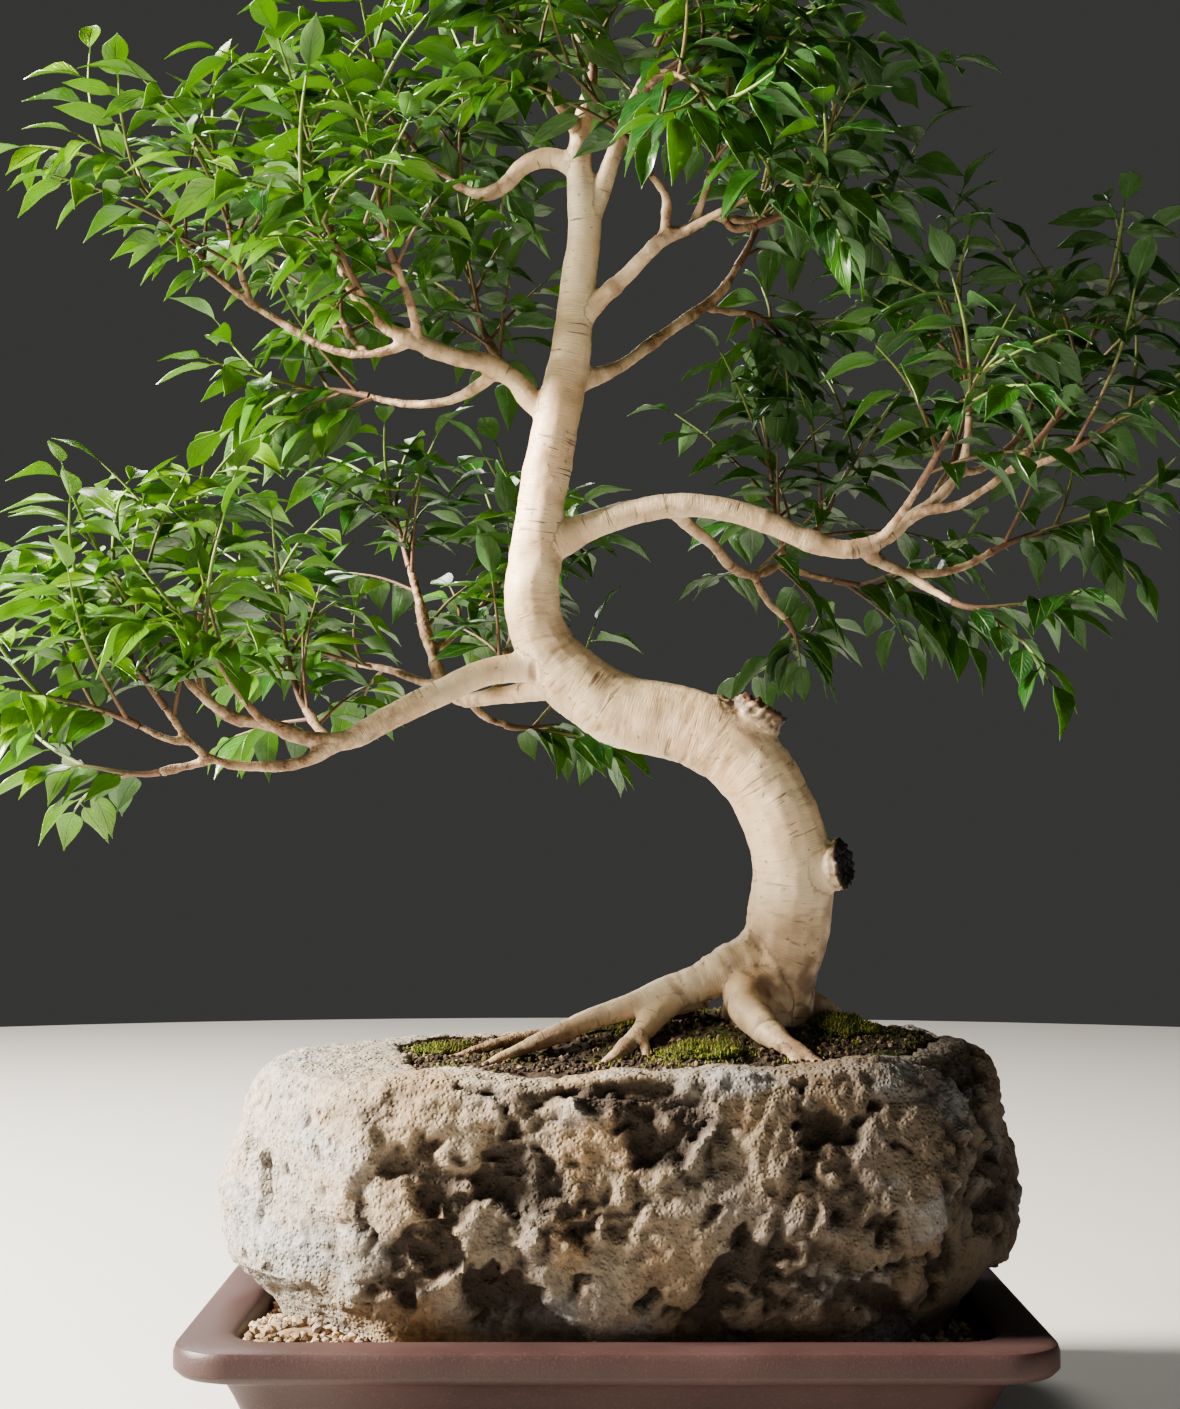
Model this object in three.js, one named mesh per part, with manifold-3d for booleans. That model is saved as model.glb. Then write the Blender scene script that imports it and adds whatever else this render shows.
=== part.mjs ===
// Birch bonsai growing over a rock in a shallow clay tray.
// Millimetres, +Z up, the front faces -Y, the ground is Z = 0 and the origin is under the middle.

import * as THREE from "three";
import { mergeVertices } from "three/addons/utils/BufferGeometryUtils.js";
import Module from "manifold-3d";

const wasm = await Module();
wasm.setup();

// Driving dimensions

const clearance = 0.35;
const seed = 11;
const tidyTolerance = { spray: 0.15, wood: 0.25, ground: 0.2 };

const tray = {
  length: 400,
  depth: 260,
  height: 60,
  cornerRadius: 28,
  footHeight: 10,
  floorTop: 18,
  wallInset: 26,
};

const rock = { bottom: 26, top: 182, rows: 34 };
const hollow = { x: 22, y: 2, halfLength: 134, halfDepth: 82, floor: 160, rim: 181 };
const mound = { x: 62, y: 8, height: 20, halfLength: 70, halfDepth: 42 };
const topSlope = { alongX: 0.026, alongY: 0.03 };
const leaf = { length: 34, widthShare: 0.37, thickness: 0.9, foldShare: 0.3, droopShare: 0.16 };
const twigTipRadius = 0.75;

// Colours

const barkColour = 0xd9c3a3;
const leafColours = [0x5f9a35, 0x4c8a2f, 0x3d7a30, 0x2f6529];
const stoneColour = 0x958c80;
const clayColour = 0x6b4a46;
const gravelColour = 0xb39a78;
const soilColour = 0x3a2c20;
const mossColour = 0x6f7d25;
const meshColour = 0x20211f;

const up = new THREE.Vector3(0, 0, 1);
const goldenAngle = Math.PI * (3 - Math.sqrt(5));
const vector = (x, y, z) => new THREE.Vector3(x, y, z);

// A steady fraction from 0 to 1 for three whole numbers.
function fraction(a, b, c) {
  let mixed = Math.imul(a + seed, 374761393) ^ Math.imul(b + 17, 668265263) ^ Math.imul(c + 5, 1274126177);
  mixed = Math.imul(mixed ^ (mixed >>> 15), 2246822519);
  mixed = Math.imul(mixed ^ (mixed >>> 13), 3266489917);
  return ((mixed ^ (mixed >>> 16)) >>> 0) / 4294967296;
}

// Smooth unevenness from -1 to 1 at a point, with bumps one unit apart.
function unevenness(x, y, z) {
  const cell = [x, y, z].map(Math.floor);
  const inside = [x, y, z].map((value, axis) => value - cell[axis]);
  const eased = inside.map((value) => value * value * (3 - 2 * value));
  let total = 0;
  for (let corner = 0; corner < 8; corner += 1) {
    const step = [corner & 1, (corner >> 1) & 1, corner >> 2];
    const weight = step.reduce((product, on, axis) => product * (on ? eased[axis] : 1 - eased[axis]), 1);
    total += weight * fraction(cell[0] + step[0], cell[1] + step[1], cell[2] + step[2]);
  }
  return 2 * total - 1;
}

// Solids

// A closed skin over rings of equal size, where a ring of one point is a pole.
// Rings run anticlockwise about the way they follow each other. From side mirroredFrom on, the
// quads are split along the other diagonal, so that both faces of a blade are split alike.
function loft(rings, mirroredFrom = Infinity) {
  const sides = Math.max(...rings.map((ring) => ring.length));
  const points = rings.flat();
  const starts = rings.map((_, row) => rings.slice(0, row).reduce((sum, ring) => sum + ring.length, 0));
  const at = (row, side) => starts[row] + (rings[row].length === 1 ? 0 : side % sides);
  const faces = [];
  for (let row = 0; row < rings.length - 1; row += 1) {
    for (let side = 0; side < sides; side += 1) {
      const [a, b, c, d] = [at(row, side), at(row, side + 1), at(row + 1, side + 1), at(row + 1, side)];
      faces.push(...(side < mirroredFrom ? [[a, b, c], [a, c, d]] : [[a, b, d], [b, c, d]]));
    }
  }
  for (let side = 1; side < sides - 1; side += 1) {
    faces.push([at(0, 0), at(0, side + 1), at(0, side)]);
    faces.push([at(rings.length - 1, 0), at(rings.length - 1, side), at(rings.length - 1, side + 1)]);
  }
  const geometry = new THREE.BufferGeometry().setFromPoints(points);
  geometry.setIndex(faces.filter((face) => new Set(face).size === 3).flat());
  return geometry;
}

function solidFrom(geometry) {
  const plain = geometry.clone();
  plain.deleteAttribute("normal");
  plain.deleteAttribute("uv");
  const merged = mergeVertices(plain, 1e-4);
  return new wasm.Manifold(new wasm.Mesh({
    numProp: 3,
    vertProperties: new Float32Array(merged.attributes.position.array),
    triVerts: new Uint32Array(merged.index.array),
  }));
}

function geometryFrom(solid) {
  const mesh = solid.getMesh();
  const geometry = new THREE.BufferGeometry();
  geometry.setAttribute("position", new THREE.BufferAttribute(new Float32Array(mesh.vertProperties), 3));
  geometry.setIndex(new THREE.BufferAttribute(new Uint32Array(mesh.triVerts), 1));
  geometry.computeVertexNormals();
  return geometry;
}

const join = (solids) => solids.reduce((whole, solid) => whole.add(solid));

// The largest body of a solid, so that no loose scrap stays beside it, without needless facets.
function tidied(solid, kind) {
  const bodies = solid.simplify(tidyTolerance[kind]).decompose();
  return bodies.reduce((best, body) => (body.volume() > best.volume() ? body : best));
}

const object = new THREE.Group();

function addPiece(name, solid, colour, roughness) {
  const material = new THREE.MeshStandardMaterial({ color: colour, roughness, metalness: 0 });
  const mesh = new THREE.Mesh(geometryFrom(solid), material);
  mesh.name = name;
  object.add(mesh);
}

// Tray: one piece of unglazed clay with a flat rim, a rounded lip and four corner feet

// The rounded rectangle that lies a given distance inside the rim's edge.
function trayRing(inset, z) {
  const radius = tray.cornerRadius - 0.65 * inset;
  const halfLength = tray.length / 2 - inset - radius;
  const halfDepth = tray.depth / 2 - inset - radius;
  const ring = [];
  for (let step = 0; step < 16; step += 1) {
    const corner = Math.floor(step / 4);
    const angle = ((corner + (step % 4) / 3) * Math.PI) / 2;
    const right = corner === 0 || corner === 3 ? halfLength : -halfLength;
    const back = corner < 2 ? halfDepth : -halfDepth;
    ring.push(vector(right + radius * Math.cos(angle), back + radius * Math.sin(angle), z));
  }
  return ring;
}

function trayBody() {
  const { footHeight, height, floorTop, wallInset } = tray;
  const profile = [
    [33, footHeight],
    [24, footHeight + 22],
    [19, height - 17],
    [5, height - 14.5],
    [0, height - 11],
    [0, height - 4],
    [4, height],
    [wallInset - 3, height],
    [wallInset, height - 4],
    [wallInset + 6, floorTop + 4],
    [wallInset + 12, floorTop],
  ];
  return loft(profile.map(([inset, z]) => trayRing(inset, z)));
}

const foot = { x: 143, y: 73, reach: 22, thickness: 13, sunk: 1 };

// An L-shaped corner foot, turned outwards by the signs of its corner.
function trayFoot(signX, signY) {
  const outline = new THREE.Shape();
  outline.moveTo(-foot.reach, foot.reach);
  outline.lineTo(-foot.reach, foot.reach - foot.thickness);
  outline.lineTo(foot.reach - foot.thickness, foot.reach - foot.thickness);
  outline.lineTo(foot.reach - foot.thickness, -foot.reach);
  outline.lineTo(foot.reach, -foot.reach);
  outline.lineTo(foot.reach, foot.reach - 8);
  outline.absarc(foot.reach - 8, foot.reach - 8, 8, 0, Math.PI / 2, false);
  const depth = tray.footHeight + foot.sunk;
  const geometry = new THREE.ExtrudeGeometry(outline, { depth, bevelEnabled: false, curveSegments: 3 });
  const turn = { "1,1": 0, "-1,1": 1, "-1,-1": 2, "1,-1": 3 }[`${signX},${signY}`];
  geometry.rotateZ((turn * Math.PI) / 2);
  geometry.translate(signX * foot.x, signY * foot.y, 0);
  return geometry;
}

const drain = { x: 82, radius: 8, meshSize: 28, meshThickness: 1, slot: 4, slotLength: 20 };

function drainHole(x) {
  const geometry = new THREE.CylinderGeometry(drain.radius, drain.radius, 3 * tray.footHeight, 8);
  geometry.rotateX(Math.PI / 2);
  geometry.translate(x, 0, tray.floorTop - 2);
  return solidFrom(geometry);
}

function box(x, y, z, width, depth, height) {
  const geometry = new THREE.BoxGeometry(width, depth, height);
  geometry.translate(x, y, z);
  return solidFrom(geometry);
}

// A square of plastic mesh over a drainage hole, with three slots.
function drainMesh(x) {
  const z = tray.floorTop + clearance + drain.meshThickness / 2;
  const slots = [-2 * drain.slot, 0, 2 * drain.slot]
    .map((middle) => box(x + middle, 0, z, drain.slot, drain.slotLength, 3 * drain.meshThickness));
  return slots.reduce(
    (plate, slot) => plate.subtract(slot),
    box(x, 0, z, drain.meshSize, drain.meshSize, drain.meshThickness),
  );
}

const corners = [[1, 1], [-1, 1], [-1, -1], [1, -1]];
const drainPlaces = { left: -drain.x, right: drain.x };
let traySolid = solidFrom(trayBody());
for (const [signX, signY] of corners) {
  traySolid = traySolid.add(solidFrom(trayFoot(signX, signY)));
}
for (const x of Object.values(drainPlaces)) {
  traySolid = traySolid.subtract(drainHole(x));
}

// Rock: one block of pitted stone, its base inside the tray and its belly over the rim

const rockPlan = [
  [-122, -108], [10, -112], [141, -106], [184, -54], [203, 8], [188, 64],
  [100, 104], [-60, 108], [-160, 78], [-199, 12], [-182, -50],
];

// Height of each level above the ground and its share of the plan.
const rockLevels = [
  [rock.bottom, 0.72], [rock.bottom + 6, 0.81], [58, 0.86], [70, 0.92], [85, 0.965],
  [103, 0.99], [121, 1], [139, 0.98], [157, 0.955], [171, 0.925], [180, 0.88], [rock.top, 0.82],
];

// How far the rock's and the soil's tops rise towards the right and the back.
const slopeAt = (x, y) => topSlope.alongX * (x - hollow.x) + topSlope.alongY * y;

// The rock's skin, moved outwards by a margin.
function rockBody(margin) {
  const outline = new THREE.Path(rockPlan.map(([x, y]) => new THREE.Vector2(x, y)));
  outline.closePath();
  const plan = outline.getSpacedPoints(rock.rows).slice(0, rock.rows);
  const rings = rockLevels.map(([z, share]) => plan.map((spot) => {
    const roughness = z < 64 ? 1.2 : 5.5;
    const coarse = unevenness(spot.x / 34, spot.y / 34, z / 30);
    const fine = unevenness(spot.x / 13 + 40, spot.y / 13, z / 15);
    const reach = spot.length();
    const out = reach * share + roughness * (coarse + 0.55 * fine) + margin;
    const lift = 2.4 * unevenness(spot.x / 30, spot.y / 30, 9) + slopeAt(spot.x * share, spot.y * share);
    const level = z + lift * THREE.MathUtils.smoothstep(z, 58, 110) - (z < 40 ? margin : 0);
    return vector((spot.x * out) / reach, (spot.y * out) / reach, level);
  }));
  const top = rock.top + margin;
  return solidFrom(loft([[vector(0, 0, rock.bottom - margin)], ...rings, [vector(0, 0, top)]]));
}

// The planting hollow's outline, a rounded oblong drawn in by an inset.
function hollowRing(inset, height) {
  const ring = [];
  const count = 21;
  for (let step = 0; step < count; step += 1) {
    const angle = (step * 2 * Math.PI) / count;
    const [c, s] = [Math.cos(angle), Math.sin(angle)];
    const round = Math.pow(Math.pow(Math.abs(c), 3) + Math.pow(Math.abs(s), 3), -1 / 3);
    const ripple = 1 + 0.05 * Math.sin(3 * angle + 1) + 0.03 * Math.sin(5 * angle);
    const x = hollow.x + (hollow.halfLength * round * ripple - inset) * c;
    const y = hollow.y + (hollow.halfDepth * round * ripple - inset) * s;
    ring.push(vector(x, y, height(x, y)));
  }
  return ring;
}

function hollowCut() {
  const wall = [[8, hollow.floor], [0, hollow.floor + 8], [-1, rock.top + 20]];
  return solidFrom(loft(wall.map(([inset, z]) => hollowRing(inset, () => z))));
}

// Soil: crumbly ground in the rock's hollow, heaped towards the foot of the tree

function soilHeight(x, y) {
  const reach = ((x - mound.x) / mound.halfLength) ** 2 + ((y - mound.y) / mound.halfDepth) ** 2;
  const crumbs = 1.1 * unevenness(x / 9, y / 9, 3) + 0.8 * unevenness(x / 22, y / 22, 7);
  return hollow.rim - 1 + slopeAt(x, y) + mound.height * Math.exp(-reach) + crumbs;
}

function soilBody() {
  const edge = clearance;
  const rings = [
    hollowRing(8 + edge, () => hollow.floor + edge),
    hollowRing(edge, () => hollow.floor + 8 + edge),
    hollowRing(edge, (x, y) => soilHeight(x, y) - 2),
    ...[7, 34, 62].map((inset) => hollowRing(inset, soilHeight)),
  ];
  const middle = vector(hollow.x, hollow.y, soilHeight(hollow.x, hollow.y));
  return solidFrom(loft([...rings, [middle]]));
}

// Moss: low cushions that lie on the soil between the roots

const mossPatches = {
  moss_left: [-86, 12, 22, 16, 5],
  moss_middle: [4, 12, 27, 12, 6],
  moss_front: [43, -52, 25, 16, 7],
  moss_right: [114, -12, 21, 15, 6],
  moss_back: [20, 56, 38, 15, 6],
};

function mossBody([x, y, halfLength, halfDepth, height]) {
  const ringAt = (share, rise) => Array.from({ length: 8 }, (_, step) => {
    const angle = (step * Math.PI) / 4;
    const wobble = 1 + 0.16 * unevenness(x + 2 * Math.cos(angle), y + 2 * Math.sin(angle), 4);
    const px = x + halfLength * share * wobble * Math.cos(angle);
    const py = y + halfDepth * share * wobble * Math.sin(angle);
    return vector(px, py, soilHeight(px, py) + rise * (1 + 0.3 * unevenness(px / 7, py / 7, 2)));
  });
  const rings = [ringAt(0.9, -3), ringAt(1, 0.6), ringAt(0.75, 0.75 * height), ringAt(0.4, height)];
  return solidFrom(loft(rings));
}

// Gravel: coarse tan grit that fills the tray round the rock, heaped at the front left corner

function gravelHeight(x, y) {
  const heap = 11 * Math.exp(-(((x + 148) / 34) ** 2) - ((y + 70) / 32) ** 2);
  const lumps = 1.5 * unevenness(x / 9, y / 9, 1) + 0.8 * unevenness(x / 25, y / 25, 6);
  return tray.height - 9 + heap + lumps;
}

const gravelParts = { long: 9, short: 5 };

function gravelBody() {
  const wallSlope = 6 / (tray.height - 8 - tray.floorTop);
  const wallAt = (z) => tray.wallInset + wallSlope * (tray.height - 4 - z) + clearance;
  const level = (ring) => ring.map((spot) => vector(spot.x, spot.y, gravelHeight(spot.x, spot.y)));
  const dense = (ring) => ring.flatMap((spot, step) => {
    const next = ring[(step + 1) % ring.length];
    const side = Math.abs(spot.x - next.x) > 60 ? "long" : "short";
    const parts = spot.distanceTo(next) < 60 ? 1 : gravelParts[side];
    return Array.from({ length: parts }, (_, part) => spot.clone().lerp(next, part / parts));
  });
  const floor = tray.floorTop + clearance;
  const rings = [
    dense(trayRing(tray.wallInset + 12.8, floor)),
    dense(trayRing(tray.wallInset + 6.8, floor + 4)),
    dense(trayRing(wallAt(tray.height - 12) + 0.4, tray.height - 12)),
    ...[0, 22].map((inset) => level(dense(trayRing(wallAt(tray.height - 9) + inset + 0.6, 0)))),
  ];
  return solidFrom(loft([...rings, [vector(0, 0, tray.height - 10)]]));
}

function meshPocket(x) {
  const size = drain.meshSize + 2 * clearance;
  const height = 6;
  const top = tray.floorTop + drain.meshThickness + 2 * clearance;
  return box(x, 0, top - height / 2, size, size, height);
}

// Wood: roots, trunk, limbs, their forks and two sawn stubs, all grown as one piece

// Points along a smooth line through the given ones, each with its radius.
function stationsAlong(route, perSpan) {
  const points = route.map(([x, y, z]) => vector(x, y, z));
  const curve = new THREE.CatmullRomCurve3(points, false, "catmullrom", 0.5);
  const spans = route.length - 1;
  return Array.from({ length: spans * perSpan + 1 }, (_, step) => {
    const place = step / perSpan;
    const from = Math.min(Math.floor(place), spans - 1);
    const radius = THREE.MathUtils.lerp(route[from][3], route[from + 1][3], place - from);
    return { point: curve.getPoint(place / spans), radius };
  });
}

// A tapering limb of round section with flat ends, moved outwards by a margin.
function limbBody(stations, sides, margin = 0) {
  const last = stations.length - 1;
  let across = null;
  const rings = stations.map(({ point, radius }, step) => {
    const before = stations[Math.max(step - 1, 0)].point;
    const after = stations[Math.min(step + 1, last)].point;
    const along = after.clone().sub(before).normalize();
    const start = across ?? (Math.abs(along.z) > 0.9 ? vector(1, 0, 0) : up);
    across = start.clone().addScaledVector(along, -start.dot(along)).normalize();
    const other = along.clone().cross(across);
    const beyond = step === last ? margin : step === 0 ? -margin : 0;
    return Array.from({ length: sides }, (_, side) => {
      const angle = (side * 2 * Math.PI) / sides;
      return point.clone()
        .addScaledVector(along, beyond)
        .addScaledVector(across, (radius + margin) * Math.cos(angle))
        .addScaledVector(other, (radius + margin) * Math.sin(angle));
    });
  });
  return solidFrom(loft(rings));
}

// Each point is x, y, z and the radius there.
const trunkRoute = [
  [77, 5, 168, 25], [77, 5, 188, 24.5], [78, 4, 205, 22.5], [82, 3, 221, 21], [87, 2, 238, 20.5],
  [89, 1, 254, 21], [90, 0, 270, 20.5], [87, -1, 286, 20], [81, -2, 302, 19.8], [68, -2, 322, 20],
  [48, -1, 338, 19.7], [26, 1, 345, 19], [4, 3, 350, 18.6], [-20, 4, 366, 17.4], [-34, 3, 382, 15.6],
  [-41, 1, 405, 13.6], [-40, 0, 428, 13.4], [-37, -1, 454, 12.4], [-32, -2, 482, 12], [-26, -2, 510, 11.3],
  [-21, -1, 540, 10.2], [-18, 0, 570, 9.4], [-15, 0, 599, 9], [-17, 0, 624, 6.8], [-17, 1, 645, 5.4],
  [-12, 1, 668, 3.6],
];

const rootRoutes = {
  root_left: [[78, 2, 226, 19], [61, -1, 221, 13.4], [45, -4, 215, 10.2], [24, -8, 208, 8.2],
    [9, -12, 203, 6.6], [-10, -16, 197, 5.6], [-30, -22, 189, 4.6], [-48, -27, 182, 3.4],
    [-66, -32, 174, 2]],
  root_fork: [[32, -6, 209, 8.4], [21, -15, 199, 6.8], [12, -27, 190, 5.6], [1, -41, 181, 4.2],
    [-13, -54, 173, 2.2]],
  root_toe: [[12, -27, 190, 4.6], [15, -38, 182, 3.2], [17, -48, 173, 1.9]],
  root_front: [[74, -2, 215, 15], [66, -14, 208, 12], [69, -28, 198, 9], [79, -42, 189, 6.4],
    [90, -56, 182, 4.4], [107, -70, 173, 2.2]],
  root_front_toe: [[79, -42, 189, 4.6], [84, -56, 182, 3.4], [88, -68, 173, 2]],
  root_right: [[80, 6, 210, 14], [97, 12, 202, 9], [108, 20, 196, 7], [122, 31, 187, 5.2],
    [141, 41, 175, 3]],
  root_back: [[76, 8, 204, 14], [80, 32, 200, 8.4], [74, 52, 190, 6], [62, 68, 181, 4.4], [52, 76, 174, 3]],
  root_thin: [[46, 2, 208, 7], [16, 12, 197, 5], [-20, 12, 189, 4], [-54, 4, 184, 3.2], [-88, -6, 174, 2]],
};

const stubRoutes = {
  stub_high: [[62, -2, 331, 14], [69, -3, 342, 13.4], [75, -4, 352, 12.8]],
  stub_low: [[88, 2, 269, 15], [102, -4, 271, 12.8], [115, -10, 273, 11.8]],
};

// The seven limbs that the photograph's outline is made of, and the leader's partner.
const limbRoutes = {
  lower_left: [[-28, 1, 374, 10], [-48, 0, 372, 7.6], [-68, -4, 368, 7], [-90, -10, 357, 6.8],
    [-115, -16, 344, 6.4], [-134, -20, 334, 5.8], [-152, -22, 335, 4.2], [-171, -23, 342, 3.8],
    [-190, -24, 346, 3.3], [-203, -24, 358, 2.8], [-206, -21, 380, 2.4], [-206, -18, 398, 2]],
  back_left: [[-26, 8, 364, 8], [-60, 38, 360, 4.6], [-86, 68, 363, 4.2], [-98, 84, 386, 3.4],
    [-107, 98, 420, 2.7], [-112, 104, 436, 2.2]],
  upper_left: [[-24, -1, 498, 8.5], [-40, -1, 507, 6.4], [-51, -2, 519, 5.6], [-64, -5, 526, 5.2],
    [-81, -8, 529, 4.8], [-100, -12, 536, 4.2], [-119, -16, 545, 3.4], [-130, -20, 557, 2.9],
    [-137, -22, 572, 2.5], [-141, -22, 586, 2.2]],
  arch_left: [[-17, 1, 627, 6.4], [-28, 4, 634, 5.6], [-37, 6, 635, 5.4], [-47, 8, 631, 4.8],
    [-56, 12, 623, 4.2], [-66, 15, 619, 3.6], [-77, 20, 623, 2.6], [-87, 24, 631, 2.4],
    [-98, 28, 641, 2.2], [-108, 31, 653, 2.1]],
  leader_right: [[-15, 0, 596, 7], [-8, -1, 612, 5.4], [-2, -3, 628, 4.7], [5, -6, 648, 4],
    [11, -9, 662, 3.3], [18, -12, 676, 2.6], [22, -13, 686, 2.2]],
  upper_right: [[-20, -1, 547, 8], [-6, -4, 560, 5], [5, -8, 569, 4.4], [15, -14, 578, 4],
    [24, -18, 586, 3.6], [38, -17, 592, 3], [52, -16, 599, 2.7], [61, -17, 592, 2.4],
    [72, -17, 594, 2.2]],
  back_right: [[-24, 0, 515, 7], [2, 10, 527, 3.6], [17, 22, 540, 3.2], [33, 34, 554, 3],
    [47, 44, 566, 2.8], [58, 52, 577, 2.5], [67, 58, 592, 2.2]],
  right: [[-38, -1, 432, 10.5], [-14, 0, 443, 7.8], [7, 0, 450, 6.8], [29, 0, 454, 6.4],
    [52, 0, 453, 6.2], [77, 0, 446, 6], [100, 0, 436, 5.6], [120, 0, 432, 5.2], [138, -1, 438, 4.4],
    [150, -2, 448, 3.8], [162, -3, 456, 3.3], [174, -4, 470, 2.8], [179, -5, 488, 2.4],
    [180, -5, 502, 2.1]],
  right_back: [[30, 1, 453, 4.8], [40, 20, 446, 3.6], [53, 45, 440, 3.3], [65, 70, 431, 3],
    [77, 85, 429, 2.8], [93, 100, 437, 2.5], [106, 110, 448, 2.2]],
};

// Forks: each starts inside the limb that it leaves and ends where its spray begins.
const forkRoutes = {
  lower_left_low: [[-134, -20, 334, 4.2], [-152, -25, 324, 3.4], [-174, -30, 321, 3],
    [-195, -35, 324, 2.7], [-206, -40, 332, 2.4], [-218, -44, 349, 2.1]],
  lower_left_inner: [[-190, -24, 346, 2.7], [-201, -32, 354, 2.4], [-214, -38, 369, 2.1]],
  lower_left_side: [[-195, -35, 324, 2.4], [-209, -35, 321, 2.2], [-222, -34, 318, 2]],
  lower_left_back: [[-134, -20, 334, 3.4], [-146, 0, 338, 2.8], [-158, 20, 352, 2.2]],
  lower_left_front: [[-171, -24, 342, 2.7], [-175, -37, 346, 2.4], [-180, -50, 354, 2.1]],
  lower_left_far: [[-206, -40, 332, 2.3], [-217, -48, 334, 2.2], [-229, -54, 340, 2]],
  back_left_side: [[-86, 68, 363, 3.2], [-108, 80, 372, 2.7], [-124, 92, 378, 2.4],
    [-140, 100, 381, 2.1]],
  back_left_low: [[-78, 58, 362, 2.9], [-70, 76, 352, 2.4], [-58, 90, 347, 2.1]],
  back_left_mid: [[-98, 84, 386, 2.9], [-88, 96, 396, 2.5], [-76, 104, 408, 2.1]],
  back_left_inner: [[-60, 38, 360, 3.2], [-60, 53, 372, 2.7], [-56, 66, 386, 2.1]],
  upper_left_far: [[-100, -12, 536, 3.2], [-125, -4, 531, 2.7], [-146, 4, 536, 2.6], [-168, 10, 549, 2.5],
    [-186, 14, 561, 2.4], [-204, 16, 575, 2.2], [-216, 16, 588, 2]],
  upper_left_low: [[-58, -4, 523, 3.8], [-79, 10, 512, 2.9], [-99, 20, 510, 2.6], [-115, 29, 513, 2.3],
    [-128, 34, 517, 2.1]],
  upper_left_rise: [[-98, -12, 535, 3], [-102, -24, 553, 2.6], [-109, -34, 571, 2.1]],
  upper_left_mid: [[-186, 14, 561, 2.3], [-190, 9, 571, 2.2], [-193, 6, 582, 2]],
  upper_left_front: [[-119, -16, 545, 2.7], [-122, -30, 549, 2.4], [-126, -46, 556, 2.1]],
  upper_left_back: [[-125, -4, 531, 2.6], [-135, 28, 545, 2.4], [-146, 54, 564, 2.1]],
  upper_left_inner: [[-51, -2, 519, 3.4], [-58, 16, 531, 2.7], [-66, 34, 547, 2.1]],
  arch_left_back: [[-87, 24, 631, 2.4], [-87, 36, 641, 2.2], [-83, 48, 653, 2.1]],
  leader_cross: [[24, -18, 586, 3.2], [26, -21, 596, 2.9], [26, -24, 606, 2.6], [18, -31, 616, 2.2]],
  leader_droop: [[5, -6, 648, 3.2], [13, -34, 656, 2.7], [19, -62, 654, 2.2]],
  leader_front: [[11, -9, 662, 3], [26, -30, 668, 2.5], [38, -50, 670, 2.1]],
  leader_back: [[2, -5, 640, 3.2], [12, 22, 652, 2.6], [19, 44, 662, 2.1]],
  leader_side: [[11, -9, 662, 2.8], [24, -3, 670, 2.4], [38, 3, 678, 2.1]],
  leader_left: [[-17, 1, 646, 3.6], [-29, -14, 658, 2.8], [-40, -27, 669, 2.2]],
  upper_right_low: [[52, -16, 598, 2.4], [66, -5, 600, 2.3], [77, 4, 603, 2]],
  upper_right_up: [[38, -17, 592, 2.6], [44, -22, 604, 2.3], [48, -28, 617, 2.1]],
  upper_right_front: [[34, -17, 590, 2.6], [44, -32, 592, 2.3], [54, -46, 594, 2.1]],
  back_right_side: [[47, 44, 566, 2.4], [60, 58, 568, 2.2], [72, 68, 569, 2]],
  right_tall: [[150, -2, 448, 3.2], [160, -9, 451, 2.9], [171, -14, 452, 2.7], [184, -19, 459, 2.4],
    [196, -22, 468, 2.2], [207, -24, 479, 2]],
  right_mid: [[174, -4, 470, 2.5], [188, 4, 474, 2.3], [200, 9, 483, 2.1]],
  right_low: [[120, 0, 434, 3.8], [132, 4, 428, 3.4], [146, 8, 422, 3], [162, 12, 421, 2.7],
    [180, 15, 425, 2.4], [195, 17, 433, 2.1]],
  right_far: [[196, -22, 468, 2.2], [208, -31, 470, 2.1], [219, -36, 474, 2]],
  right_rear: [[162, -3, 456, 2.8], [168, 22, 466, 2.4], [176, 40, 478, 2.1]],
  right_front: [[134, -1, 436, 2.9], [142, -24, 446, 2.5], [149, -44, 458, 2.1]],
  right_hang: [[146, 8, 422, 2.6], [159, -3, 412, 2.3], [170, -11, 404, 2]],
  right_back_out: [[93, 100, 437, 2.5], [109, 104, 431, 2.3], [123, 106, 428, 2]],
  right_back_rear: [[93, 100, 437, 2.5], [95, 112, 452, 2.3], [93, 120, 466, 2.1]],
  right_back_hang: [[77, 85, 429, 2.7], [84, 88, 416, 2.4], [95, 90, 405, 2.1]],
};

const woodRoutes = { ...limbRoutes, ...forkRoutes };

function woodParts(margin) {
  return [
    limbBody(stationsAlong(trunkRoute, 1), 8, margin),
    ...Object.values(rootRoutes).map((route) => limbBody(stationsAlong(route, 1), 5, margin)),
    ...Object.values(stubRoutes).map((route) => limbBody(stationsAlong(route, 1), 7, margin)),
    ...Object.values(limbRoutes).map((route) => limbBody(stationsAlong(route, 1), 5, margin)),
    ...Object.values(forkRoutes).map((route) => limbBody(stationsAlong(route, 1), 3, margin)),
  ];
}

// Sprays: the last length of a branch with its side twigs and leaves

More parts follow.
